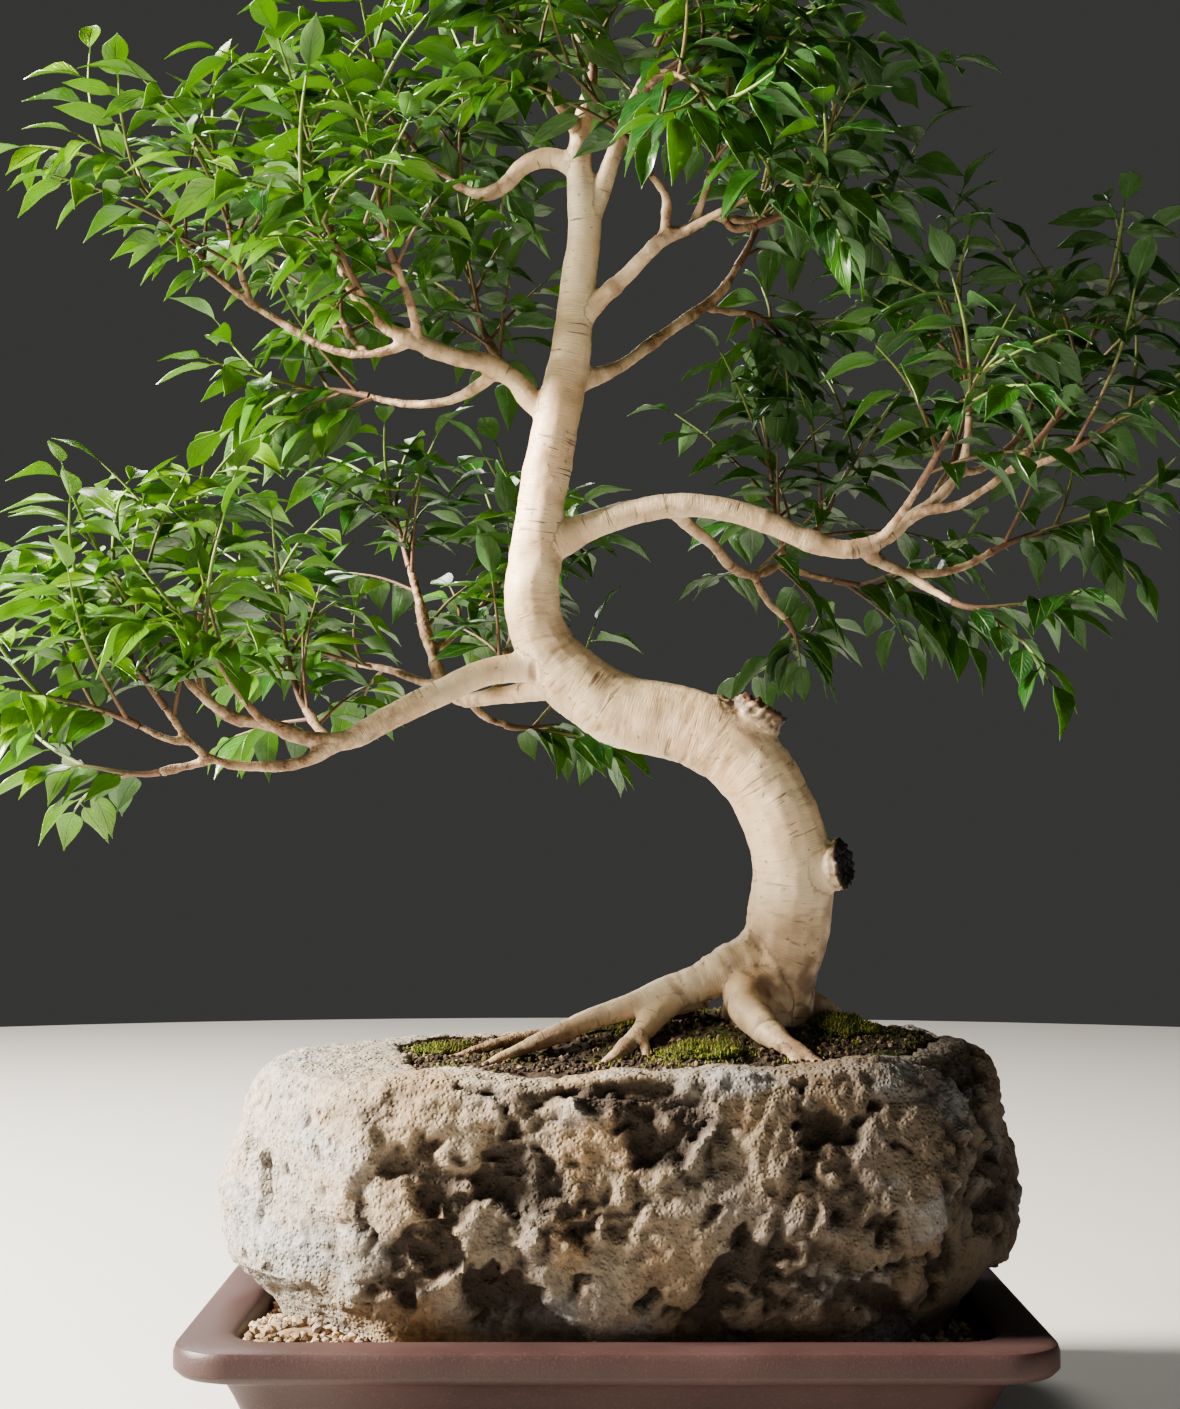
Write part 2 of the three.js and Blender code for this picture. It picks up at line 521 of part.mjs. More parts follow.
// Each spray goes on from the end of the limb or fork of its name to this furthest tip.
const sprayTips = {
  leader: [-16, 4, 728],
  lower_left: [-216, -8, 456],
  back_left: [-130, 108, 488],
  upper_left: [-158, -30, 660],
  arch_left: [-138, 44, 712],
  leader_right: [48, -22, 722],
  upper_right: [132, -12, 676],
  back_right: [98, 84, 648],
  right: [158, -10, 580],
  right_back: [152, 118, 520],
  lower_left_low: [-262, -62, 398],
  lower_left_inner: [-262, -42, 436],
  lower_left_side: [-278, -30, 320],
  lower_left_back: [-184, 56, 432],
  lower_left_front: [-206, -104, 392],
  lower_left_far: [-282, -66, 352],
  back_left_side: [-206, 108, 404],
  back_left_low: [-16, 112, 346],
  back_left_mid: [-40, 112, 462],
  back_left_inner: [-44, 72, 448],
  upper_left_far: [-276, 8, 648],
  upper_left_low: [-184, 50, 520],
  upper_left_rise: [-124, -62, 644],
  upper_left_mid: [-208, -10, 652],
  upper_left_front: [-150, -122, 588],
  upper_left_back: [-178, 98, 622],
  upper_left_inner: [-86, 76, 618],
  arch_left_back: [-74, 96, 706],
  leader_cross: [-62, -64, 688],
  leader_droop: [48, -142, 606],
  leader_front: [88, -112, 652],
  leader_back: [36, 102, 698],
  leader_side: [98, 24, 716],
  leader_left: [-84, -70, 716],
  upper_right_low: [138, 30, 612],
  upper_right_up: [62, -66, 668],
  upper_right_front: [102, -102, 588],
  back_right_side: [104, 108, 552],
  right_tall: [264, -28, 584],
  right_mid: [232, 16, 570],
  right_low: [258, 24, 448],
  right_far: [282, -50, 510],
  right_rear: [214, 92, 540],
  right_front: [176, -112, 508],
  right_hang: [222, -22, 400],
  right_back_out: [182, 112, 416],
  right_back_rear: [84, 122, 536],
  right_back_hang: [104, 104, 384],
};

const spray = {
  twigAngle: 0.85,
  twigLength: 64,
  twigRise: 0.2,
  twigStep: 0.145,
  twigLeafStep: 0.155,
  axisLeafStep: 0.1,
};

// Even and odd sprays show different twigs and leaves. One twig has only the leaf at its end.
const shownTwigs = [[1, 4], [2, 3]];
const shownAxisLeaf = [5, 4];
const shownTwigLeaf = 2;
const endLeafOnly = 2;

const sideways = (along) => {
  const flat = along.clone().cross(up);
  return flat.length() < 0.15 ? vector(1, 0, 0) : flat.normalize();
};

// The spray's own stem, from the end of its limb to its furthest tip.
function axisStations(name) {
  const route = name === "leader" ? trunkRoute : woodRoutes[name];
  const wood = stationsAlong(route, 1);
  const end = wood.at(-1);
  const leaving = end.point.clone().sub(wood.at(-2).point).normalize();
  const start = end.point.clone().addScaledVector(leaving, clearance);
  const tip = vector(...sprayTips[name]);
  const reach = start.distanceTo(tip) / 3;
  const arriving = tip.clone().sub(start).normalize().addScaledVector(up, -0.35).normalize();
  const curve = new THREE.CubicBezierCurve3(
    start,
    start.clone().addScaledVector(leaving, reach),
    tip.clone().addScaledVector(arriving, -reach),
    tip,
  );
  return Array.from({ length: 4 }, (_, step) => ({
    point: curve.getPoint(step / 3),
    along: curve.getTangent(step / 3),
    radius: THREE.MathUtils.lerp(end.radius, twigTipRadius, step / 3),
  }));
}

// Where a stem is and which way it runs, at a share of its length.
function onStem(stations, share) {
  const place = Math.min(share * (stations.length - 1), stations.length - 1.001);
  const [from, to] = [stations[Math.floor(place)], stations[Math.floor(place) + 1]];
  const point = from.point.clone().lerp(to.point, place - Math.floor(place));
  return { point, along: to.point.clone().sub(from.point).normalize() };
}

// A side twig. Each leaves the spray's stem a golden angle round it from the one before.
function twigStations(axis, sprayNumber, twig, turn) {
  const share = 0.1 + spray.twigStep * twig;
  const { point, along } = onStem(axis, share);
  const side = sideways(along);
  const roll = goldenAngle * twig + 2 * Math.PI * fraction(sprayNumber, 0, 11) + turn;
  const outward = side.clone().multiplyScalar(Math.cos(roll))
    .addScaledVector(side.cross(along), Math.sin(roll));
  const angle = spray.twigAngle + 0.3 * (fraction(sprayNumber, twig, 2) - 0.5);
  const heading = along.clone().multiplyScalar(Math.cos(angle)).addScaledVector(outward, Math.sin(angle));
  const length = spray.twigLength * (1.1 - 0.45 * share) * (0.75 + 0.4 * fraction(sprayNumber, twig, 3));
  const tip = point.clone().addScaledVector(heading, length).addScaledVector(up, spray.twigRise * length);
  const run = tip.clone().sub(point).normalize();
  return [{ point, along: run, radius: 1.05 }, { point: tip, along: run, radius: twigTipRadius }];
}

// The rings of a blade with a folded midrib, which hangs over towards its drawn-out tip.
function leafRings(point, heading, flat, length) {
  const across = flat.clone().cross(heading);
  const half = (leaf.widthShare * length) / 2;
  const spot = (place, out, rise) => point.clone()
    .addScaledVector(heading, length * place)
    .addScaledVector(across, out)
    .addScaledVector(flat, rise - leaf.droopShare * length * place * place);
  const section = (place, width) => [
    spot(place, width, leaf.foldShare * width),
    spot(place, 0, leaf.thickness / 2),
    spot(place, -width, leaf.foldShare * width),
    spot(place, 0, -leaf.thickness / 2),
  ];
  return [section(0.38, half), section(0.72, 0.5 * half), [spot(1, 0, 0)]];
}

const leafLength = (number, slot) => leaf.length * (0.84 + 0.28 * fraction(number, slot, 7));

// The upper side of a leaf that points a given way, rolled a little about its midrib.
function upperSide(heading, number, slot) {
  const flat = up.clone().addScaledVector(heading, -up.dot(heading)).normalize();
  return flat.applyAxisAngle(heading, 0.9 * (fraction(number, slot, 6) - 0.5));
}

// A leaf to the left or right of its stem in turn, its foot sunk in the stem.
function leafBody(stem, share, number, slot, turn) {
  const { point, along } = onStem(stem, share);
  const hand = slot % 2 ? 1 : -1;
  const heading = along.clone().multiplyScalar(0.62)
    .addScaledVector(sideways(along), hand * (0.75 + 0.2 * fraction(number, slot, 4)))
    .addScaledVector(up, -0.3 - 0.45 * fraction(number, slot, 5))
    .normalize()
    .applyAxisAngle(along, turn);
  const rings = leafRings(point, heading, upperSide(heading, number, slot), leafLength(number, slot));
  return solidFrom(loft([[point], ...rings], 2));
}

// A four-sided stem that runs on into the leaf at its end.
function leafyStem(stations, number, slot) {
  const last = stations.length - 1;
  const end = stations[last].point;
  const heading = stations[last].along.clone().addScaledVector(up, -0.3).normalize();
  const flat = upperSide(heading, number, slot);
  let across = flat.clone().cross(heading);
  const rings = [];
  for (let step = last; step >= 0; step -= 1) {
    const { point, radius, along } = stations[step];
    across = across.clone().addScaledVector(along, -across.dot(along)).normalize();
    const rise = along.clone().cross(across);
    const corner = ([direction, size]) => point.clone().addScaledVector(direction, size);
    rings.unshift([[across, radius], [rise, radius], [across, -radius], [rise, -radius]].map(corner));
  }
  return solidFrom(loft([...rings, ...leafRings(end, heading, flat, leafLength(number, slot))], 2));
}

// What is already in place, so that each new twig or leaf can be bent clear of it.
const placed = [];

function boxOf(solid) {
  const { min, max } = solid.boundingBox();
  return new THREE.Box3(vector(...min), vector(...max));
}

function isClear(solid, ownStems) {
  const box = boxOf(solid).expandByScalar(clearance);
  return !placed.some((other) => !ownStems.includes(other.solid)
    && other.box.intersectsBox(box)
    && other.solid.minGap(solid, 1) < 0.9 * clearance);
}

const turnsTried = [0, 0.45, -0.45, 0.9, -0.9, 1.5, -1.5];

// The first way to turn a twig or leaf that leaves it clear, or nothing.
function placeClear(make, ownStems) {
  for (const turn of turnsTried) {
    const made = make(turn);
    if (isClear(made.solid, ownStems)) {
      placed.push({ solid: made.solid, box: boxOf(made.solid) });
      return made;
    }
  }
  return null;
}

function sprayBody(name, number, axis) {
  const axisSolid = axisSolids[name];
  const parts = [axisSolid];
  const addLeaf = (stem, stemSolid, share, slot) => {
    const made = placeClear((turn) => ({ solid: leafBody(stem, share, number, slot, turn) }), [stemSolid]);
    if (made) {
      parts.push(made.solid);
    }
  };
  const twigs = shownTwigs[number % 2].map((twig) => {
    const make = (turn) => {
      const stations = twigStations(axis, number, twig, turn);
      return { twig, stations, solid: leafyStem(stations, number, 10 * (twig + 1)) };
    };
    return placeClear(make, [axisSolid]);
  });
  const slot = shownAxisLeaf[number % 2];
  addLeaf(axis, axisSolid, 0.2 + spray.axisLeafStep * slot, slot + 1);
  for (const { twig, stations, solid } of twigs.filter(Boolean)) {
    parts.push(solid);
    if (twig !== endLeafOnly) {
      const share = 0.22 + spray.twigLeafStep * shownTwigLeaf;
      addLeaf(stations, solid, share, 10 * (twig + 1) + shownTwigLeaf + 1);
    }
  }
  return tidied(join(parts), "spray");
}

// Assembly, from the ground up

const woodPieces = woodParts(0);
const woodClearance = join(woodParts(1.8 * clearance));
const rockClearance = rockBody(2.4 * clearance);
const rockSolid = tidied(rockBody(0).subtract(hollowCut()).subtract(woodClearance), "ground");
const soilSolid = tidied(soilBody().subtract(woodClearance), "ground");
const soilClearance = soilBody().translate([0, 0, 1.4 * clearance]);
const gravelWithPockets = Object.values(drainPlaces)
  .reduce((bed, x) => bed.subtract(meshPocket(x)), gravelBody());

addPiece("pot", traySolid, clayColour, 0.62);
for (const [side, x] of Object.entries(drainPlaces)) {
  addPiece(`drain_mesh_${side}`, drainMesh(x), meshColour, 0.5);
}
addPiece("gravel", tidied(gravelWithPockets.subtract(rockClearance), "ground"), gravelColour, 0.95);
addPiece("rock", rockSolid, stoneColour, 0.92);
addPiece("soil", soilSolid, soilColour, 1);
for (const [name, patch] of Object.entries(mossPatches)) {
  const cushion = mossBody(patch).subtract(soilClearance).subtract(woodClearance);
  addPiece(name, tidied(cushion, "ground"), mossColour, 0.95);
}
addPiece("trunk", tidied(join(woodPieces), "wood"), barkColour, 0.7);

for (const solid of woodPieces) {
  placed.push({ solid, box: boxOf(solid) });
}
const sprayAxes = Object.fromEntries(Object.keys(sprayTips).map((name) => [name, axisStations(name)]));
const axisSolids = Object.fromEntries(
  Object.entries(sprayAxes).map(([name, axis], number) => [name, leafyStem(axis, number, 0)]),
);
for (const solid of Object.values(axisSolids)) {
  placed.push({ solid, box: boxOf(solid) });
}
Object.entries(sprayAxes).forEach(([name, axis], number) => {
  const colour = leafColours[number % leafColours.length];
  addPiece(`spray_${name}`, sprayBody(name, number, axis), colour, 0.5);
});

// The origin lies under the middle of the whole object.
const bounds = new THREE.Box3().setFromObject(object);
const middle = bounds.getCenter(vector(0, 0, 0));
object.position.set(-middle.x, -middle.y, -bounds.min.z);

export default object;
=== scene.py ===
# Birch bonsai over a rock in a clay tray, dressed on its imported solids.
# Metres, +Z up, the front faces -Y, and the ground is at Z = 0.

import math
import random

import bmesh
import bpy
import numpy as np
from mathutils import Matrix, Vector, noise
from mathutils.bvhtree import BVHTree
from mathutils.kdtree import KDTree


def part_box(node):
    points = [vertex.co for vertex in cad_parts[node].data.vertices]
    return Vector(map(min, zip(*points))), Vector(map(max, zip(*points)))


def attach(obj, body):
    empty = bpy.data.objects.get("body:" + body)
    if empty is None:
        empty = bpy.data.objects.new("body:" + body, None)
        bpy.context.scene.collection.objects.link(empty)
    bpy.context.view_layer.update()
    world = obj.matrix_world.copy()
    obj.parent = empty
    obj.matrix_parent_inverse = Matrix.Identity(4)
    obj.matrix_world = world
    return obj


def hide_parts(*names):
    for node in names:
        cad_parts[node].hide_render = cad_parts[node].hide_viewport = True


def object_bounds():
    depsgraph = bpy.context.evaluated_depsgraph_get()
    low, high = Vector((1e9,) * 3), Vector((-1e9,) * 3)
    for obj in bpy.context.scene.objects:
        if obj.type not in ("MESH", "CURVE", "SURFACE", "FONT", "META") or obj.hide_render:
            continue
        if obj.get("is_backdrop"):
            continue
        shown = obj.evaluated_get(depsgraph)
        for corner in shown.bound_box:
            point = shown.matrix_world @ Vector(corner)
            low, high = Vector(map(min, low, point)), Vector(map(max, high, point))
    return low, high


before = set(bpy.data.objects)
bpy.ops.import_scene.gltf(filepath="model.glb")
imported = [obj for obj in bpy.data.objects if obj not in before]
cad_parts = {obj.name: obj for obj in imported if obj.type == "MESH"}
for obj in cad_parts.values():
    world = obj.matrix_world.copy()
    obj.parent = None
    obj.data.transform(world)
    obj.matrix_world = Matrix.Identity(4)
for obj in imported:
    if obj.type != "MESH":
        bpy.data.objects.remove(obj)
cad_low, cad_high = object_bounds()


# Tray: stoneware clay pressed in a mould and fired without a glaze. A flat rim with a rounded
# lip runs round sloping walls. It stands on four L-shaped feet, and two holes in the floor
# let water out.

MM = 0.001
# In millimetres. FOOT_CORNER is how far a foot's outer corner stands from the tray's middle.
HALF_LENGTH, HALF_DEPTH, CORNER_RADIUS = 200, 130, 28
RIM_BOTTOM, RIM_TOP, RIM_WIDTH = 49, 56, 26
FOOT_HEIGHT, FOOT_REACH, FOOT_WALL, FOOT_CORNER = 12, 44, 13, (165, 95)
HOLE_OFFSET, HOLE_RADIUS = 82, 8
SHARP_EDGE = math.radians(32)
tray_low, tray_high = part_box("pot")


def spot(x, y, z):
    """A point given in millimetres from the middle of the tray's underside, in the row frame."""
    middle_x, middle_y = (tray_low.x + tray_high.x) / 2, (tray_low.y + tray_high.y) / 2
    return Vector((middle_x + x * MM, middle_y + y * MM, tray_low.z + z * MM))


def pick_nothing():
    """Goes back to object mode with nothing selected."""
    if bpy.context.object and bpy.context.object.mode != "OBJECT":
        bpy.ops.object.mode_set(mode="OBJECT")
    bpy.ops.object.select_all(action="DESELECT")


def pick(piece):
    """Makes a piece the only one that is selected, in object mode."""
    pick_nothing()
    piece.select_set(True)
    bpy.context.view_layer.objects.active = piece


def settle(piece):
    """Puts a piece's place and size into its mesh."""
    pick(piece)
    bpy.ops.object.transform_apply(location=True, rotation=True, scale=True)


def block(name, low, high):
    """A block between two corners in millimetres from the middle of the tray's underside."""
    pick_nothing()
    low, high = spot(*low), spot(*high)
    bpy.ops.mesh.primitive_cube_add(size=1, location=(low + high) / 2, scale=high - low)
    made = bpy.context.object
    made.name = name
    settle(made)
    return made


def pick_part(piece, kind, wanted):
    """Goes into edit mode with only the wanted faces or edges selected."""
    pick(piece)
    bpy.ops.object.mode_set(mode="EDIT")
    bpy.ops.mesh.select_mode(type=kind)
    bpy.ops.mesh.select_all(action="DESELECT")
    mesh = bmesh.from_edit_mesh(piece.data)
    for part in mesh.faces if kind == "FACE" else mesh.edges:
        part.select_set(bool(wanted(part)))
    bmesh.update_edit_mesh(piece.data)


def finish_with(piece, kind, **settings):
    """Adds a modifier with these settings and applies it."""
    pick(piece)
    modifier = piece.modifiers.new(kind.lower(), kind)
    for setting, value in settings.items():
        setattr(modifier, setting, value)
    bpy.ops.object.modifier_apply(modifier=modifier.name)


def upright(edge):
    along = edge.verts[0].co - edge.verts[1].co
    return abs(along.z) > 0.9 * along.length


def joined(name, pieces):
    """One piece made of several."""
    pick(pieces[0])
    for piece in pieces[1:]:
        piece.select_set(True)
    bpy.ops.object.join()
    pieces[0].name = name
    return pieces[0]


def put(name, data):
    """A new object in the scene that holds a mesh, a curve, a light or a camera."""
    made = bpy.data.objects.new(name, data)
    bpy.context.scene.collection.objects.link(made)
    return made


def copy_of(piece, name, matrix=Matrix.Identity(4)):
    """A copy with its own mesh, turned and moved by a matrix."""
    made = put(name, piece.data.copy())
    made.data.transform(matrix)
    return made


rim_low, rim_high = (-HALF_LENGTH, -HALF_DEPTH, RIM_BOTTOM), (HALF_LENGTH, HALF_DEPTH, RIM_TOP)
pot = block("clay_tray", rim_low, rim_high)
pick_part(pot, "EDGE", upright)
bpy.ops.mesh.bevel(offset=CORNER_RADIUS * MM, segments=10, affect="EDGES")

# Each step is the height above the ground and how far the wall stands inside the rim's edge.
rim_and_inside = [(59.2, 1), (60, 4), (60, 22), (58.6, 25), (56, 26), (22, 32), (18.6, 35), (18, 38)]
lip_and_underside = [(46, 2.5), (44.5, 7), (43, 17), (40, 20), (32, 24), (10, 33)]
for top, steps in ((1, rim_and_inside), (-1, lip_and_underside)):
    level, inset = RIM_TOP if top > 0 else RIM_BOTTOM, 0
    pick_part(pot, "FACE", lambda face: face.normal.z * top > 0.9)
    for height, inside in steps:
        bpy.ops.mesh.extrude_region()
        bpy.ops.transform.translate(value=(0, 0, (height - level) * MM))
        narrower = (HALF_LENGTH - inside) / (HALF_LENGTH - inset)
        shallower = (HALF_DEPTH - inside) / (HALF_DEPTH - inset)
        bpy.ops.transform.resize(value=(narrower, shallower, 1), center_override=spot(0, 0, 0))
        level, inset = height, inside

foot = block("foot", (-FOOT_WALL, -FOOT_WALL, 0), (0, 0, FOOT_HEIGHT))
foot_middle = spot(-FOOT_WALL / 2, -FOOT_WALL / 2, FOOT_HEIGHT / 2)
for side in (Vector((-1, 0, 0)), Vector((0, -1, 0))):

    def faces_out(face):
        is_near = (face.calc_center_median() - foot_middle).length < FOOT_WALL * MM
        return is_near and face.normal.dot(side) > 0.9

    pick_part(foot, "FACE", faces_out)
    bpy.ops.mesh.extrude_region()
    bpy.ops.transform.translate(value=side * (FOOT_REACH - FOOT_WALL) * MM)
corner = spot(0, 0, 0)


def at_corner(edge):
    return upright(edge) and max((v.co - corner).xy.length for v in edge.verts) < MM


pick_part(foot, "EDGE", at_corner)
bpy.ops.mesh.bevel(offset=7 * MM, segments=4, affect="EDGES")
pick(foot)
feet = []
for turn, (x, y) in enumerate([(1, 1), (-1, 1), (-1, -1), (1, -1)]):
    moved = Matrix.Translation(spot(x * FOOT_CORNER[0], y * FOOT_CORNER[1], 0))
    turned = moved @ Matrix.Rotation(turn * math.pi / 2, 4, "Z")
    feet.append(copy_of(foot, f"foot_{turn}", turned @ Matrix.Translation(-corner)))
bpy.data.objects.remove(foot)
feet = joined("feet", feet)
holes = []
for x in (-HOLE_OFFSET, HOLE_OFFSET):
    pick_nothing()
    place = spot(x, 0, 16)
    bpy.ops.mesh.primitive_cylinder_add(vertices=32, radius=HOLE_RADIUS * MM, depth=30 * MM, location=place)
    settle(bpy.context.object)
    holes.append(bpy.context.object)
holes = joined("holes", holes)
finish_with(pot, "BOOLEAN", operation="UNION", object=feet, solver="EXACT")
finish_with(pot, "BOOLEAN", operation="DIFFERENCE", object=holes, solver="EXACT")
bpy.data.objects.remove(feet)
bpy.data.objects.remove(holes)
finish_with(pot, "BEVEL", width=0.9 * MM, segments=2, limit_method="ANGLE", angle_limit=SHARP_EDGE)
pick(pot)
bpy.ops.object.shade_smooth_by_angle(angle=SHARP_EDGE)


def new_finish(name):
    """A new material: it, its node tree and its main shader."""
    made = bpy.data.materials.new(name)
    made.use_nodes = True
    return made, made.node_tree, made.node_tree.nodes["Principled BSDF"]


def feed(tree, value, socket):
    """Leads another socket into this one, or sets it to a number or colour that stays the same."""
    if isinstance(value, bpy.types.NodeSocket):
        tree.links.new(value, socket)
    elif socket.type == "RGBA":
        socket.default_value = (*value, 1)
    else:
        socket.default_value = value


def add(tree, kind, feeds={}, **settings):
    """A new node with its settings, and with what feeds its sockets."""
    node = tree.nodes.new(kind)
    for setting, value in settings.items():
        setattr(node, setting, value)
    for socket, value in feeds.items():
        feed(tree, value, node.inputs[socket])
    return node


def own_places(tree):
    """The piece's own coordinates, in metres."""
    return add(tree, "ShaderNodeTexCoord").outputs["Object"]


def grain(tree, scale, detail=4, stretch=(1, 1, 1), source=None):
    """Noise on the piece's own coordinates, or on another source's: a value from 0 to 1."""
    source = own_places(tree) if source is None else source
    mapped = add(tree, "ShaderNodeMapping", {"Vector": source, "Scale": stretch}).outputs["Vector"]
    feeds = {"Vector": mapped, "Scale": scale, "Detail": detail}
    return add(tree, "ShaderNodeTexNoise", feeds).outputs["Fac"]


def ramp(tree, source, stops):
    """Colours along a value: each stop is a place and a colour."""
    made = add(tree, "ShaderNodeValToRGB", {"Fac": source})
    band = made.color_ramp
    while len(band.elements) < len(stops):
        band.elements.new(0.5)
    for element, (place, colour) in zip(band.elements, stops):
        element.position = place
        element.color = (*colour, 1)
    return made.outputs["Color"]


def mixed(tree, share, first, second):
    """Two colours mixed by a share. Each may be a socket or a fixed value."""
    return add(tree, "ShaderNodeMix", {0: share, 6: first, 7: second}, data_type="RGBA").outputs[2]


def stretched(tree, source, low, high, to_low, to_high):
    """A value moved from one range to another and held inside it."""
    feeds = {"Value": source, "From Min": low, "From Max": high, "To Min": to_low, "To Max": to_high}
    return add(tree, "ShaderNodeMapRange", feeds, clamp=True).outputs["Result"]


def washed(tree, base, *layers):
    """Colours laid over a base in turn. Each is a value, two bounds of it, the shares there, a colour."""
    for value, *bounds, colour in layers:
        base = mixed(tree, stretched(tree, value, *bounds), base, colour)
    return base


def coated(tree, shader, colour, roughness, height=None, distance=0):
    """Gives a surface its colour, its roughness and a relief, which a height raises by a distance."""
    feed(tree, colour, shader.inputs["Base Color"])
    feed(tree, roughness, shader.inputs["Roughness"])
    if height is not None:
        relief = add(tree, "ShaderNodeBump", {"Height": height, "Distance": distance, "Strength": 1})
        feed(tree, relief.outputs["Normal"], shader.inputs["Normal"])


def clad(piece, material):
    piece.data.materials.clear()
    piece.data.materials.append(material)


clay, tree, shader = new_finish("unglazed_clay")
cloud = grain(tree, 14, 3)
speck = grain(tree, 900, 2)
base = ramp(tree, cloud, [(0.3, (0.046, 0.023, 0.021)), (0.7, (0.078, 0.04, 0.036))])
base = washed(tree, base, (speck, 0.55, 0.75, 0, 0.3, (0.16, 0.1, 0.088)))
coated(tree, shader, base, stretched(tree, cloud, 0.3, 0.7, 0.46, 0.6), speck, 0.00012)
clad(pot, clay)
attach(pot, "root")
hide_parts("pot")


# Drainage mesh: two squares of black plastic net, laid loose over the holes under the grit.

net, tree, shader = new_finish("black_net")
sheen = stretched(tree, grain(tree, 300), 0.3, 0.7, 0.35, 0.55)
coated(tree, shader, (0.012, 0.013, 0.012), sheen)
for side in ("left", "right"):
    clad(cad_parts[f"drain_mesh_{side}"], net)


# Grit: coarse tan gravel, two to six millimetres, poured in the tray round the rock. Each grain
# is a broken stone of its own, and they lie on a bed of the same grit.

UP, DOWN = Vector((0, 0, 1)), Vector((0, 0, -1))
GRAIN_COUNT, GRAIN_SHAPES = 5200, 8
inner_x, inner_y = HALF_LENGTH - RIM_WIDTH, HALF_DEPTH - RIM_WIDTH
# The grit is heaped, and its grains are larger, round this place near the front left corner.
HEAP_X, HEAP_Y, HEAP_REACH = -148, -70, 40


def solid_copy(node, name):
    """A merged copy of a CAD node, to be worked on."""
    made = copy_of(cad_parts[node], name)
    pick(made)
    bpy.ops.object.mode_set(mode="EDIT")
    bpy.ops.mesh.select_all(action="SELECT")
    bpy.ops.mesh.remove_doubles(threshold=0.00001)
    bpy.ops.object.mode_set(mode="OBJECT")
    return made


def remade(piece, size):
    """Gives a piece an even net of small faces, of a size in millimetres."""
    finish_with(piece, "REMESH", mode="VOXEL", voxel_size=size * MM)


def surface_of(piece):
    """The tree of a mesh's faces, to find what lies nearest or below."""
    points = [v.co.copy() for v in piece.data.vertices]
    return BVHTree.FromPolygons(points, [tuple(p.vertices) for p in piece.data.polygons])


def landing(surface, start, level):
    """Where a thing dropped from a start lands on a surface, or None where it is too steep or missed."""
    hit, normal, _, _ = surface.ray_cast(start, DOWN)
    return None if hit is None or normal.z < level else hit


def reshaped(piece, shift):
    """Moves each point along its normal by what shift says for its place and normal, in metres."""
    mesh = piece.data
    moved = np.array([v.co + v.normal * shift(v.co, v.normal) for v in mesh.vertices], np.float32)
    mesh.vertices.foreach_set("co", moved.ravel())
    mesh.update()


def mark(mesh, label, values):
    """Stores a value or a vector for each point of a mesh, or one value for all, for its material."""
    values = np.array(values, np.float32)
    if values.ndim == 0:
        values = np.full(len(mesh.vertices), values)
    kind, field = ("FLOAT_VECTOR", "vector") if values.ndim == 2 else ("FLOAT", "value")
    mesh.attributes.new(label, kind, "POINT").data.foreach_set(field, values.ravel())


def pattern_of(piece):
    """A small shape that is copied many times, as points, faces and texture places."""
    mesh = piece.data
    points = np.array([v.co for v in mesh.vertices])
    faces = [tuple(p.vertices) for p in mesh.polygons]
    layer = mesh.uv_layers.active
    places = np.array([d.uv for d in layer.data]) if layer else np.zeros((len(mesh.loops), 2))
    under = np.zeros(len(points))
    for face in mesh.polygons:
        if face.normal.z < -0.2:
            under[list(face.vertices)] = 1
    bpy.data.objects.remove(piece)
    return points, faces, places, under


def strewn(name, patterns, places):
    """One piece made of copies. A place is a pattern's number, a matrix and a tint from 0 to 1."""
    points, faces, textures, tints, unders, start = [], [], [], [], [], 0
    for number, matrix, tint in places:
        shape, shape_faces, shape_places, under = patterns[number]
        turned = np.array(matrix)
        points.append(shape @ turned[:3, :3].T + turned[:3, 3])
        faces.extend(tuple(start + corner for corner in face) for face in shape_faces)
        textures.append(shape_places)
        tints.append(np.full(len(shape), tint))
        unders.append(under)
        start += len(shape)
    mesh = bpy.data.meshes.new(name)
    mesh.from_pydata(np.concatenate(points).tolist(), [], faces)
    flat_places = np.concatenate(textures).astype(np.float32).ravel()
    mesh.uv_layers.new(name="UVMap").data.foreach_set("uv", flat_places)
    mark(mesh, "tint", np.concatenate(tints))
    mark(mesh, "under", np.concatenate(unders))
    return put(name, mesh)


def pebbles(count, flatness, seed):
    """Broken stones about one unit across, each an icosphere knocked out of shape."""
    made = []
    chance = random.Random(seed)
    for _ in range(count):
        pick_nothing()
        bpy.ops.mesh.primitive_ico_sphere_add(subdivisions=1, radius=0.5)
        stone = bpy.context.object
        for v in stone.data.vertices:
            v.co *= chance.uniform(0.72, 1.12)
            v.co.z *= flatness
        made.append(pattern_of(stone))
    return made


def spun(chance):
    return Matrix.Rotation(chance.uniform(0, 6.28), 4, "Z")


def turned_any_way(chance):
    return spun(chance) @ Matrix.Rotation(chance.uniform(0, 3.14), 4, "X")


bed = solid_copy("gravel", "gravel_bed")
remade(bed, 3)
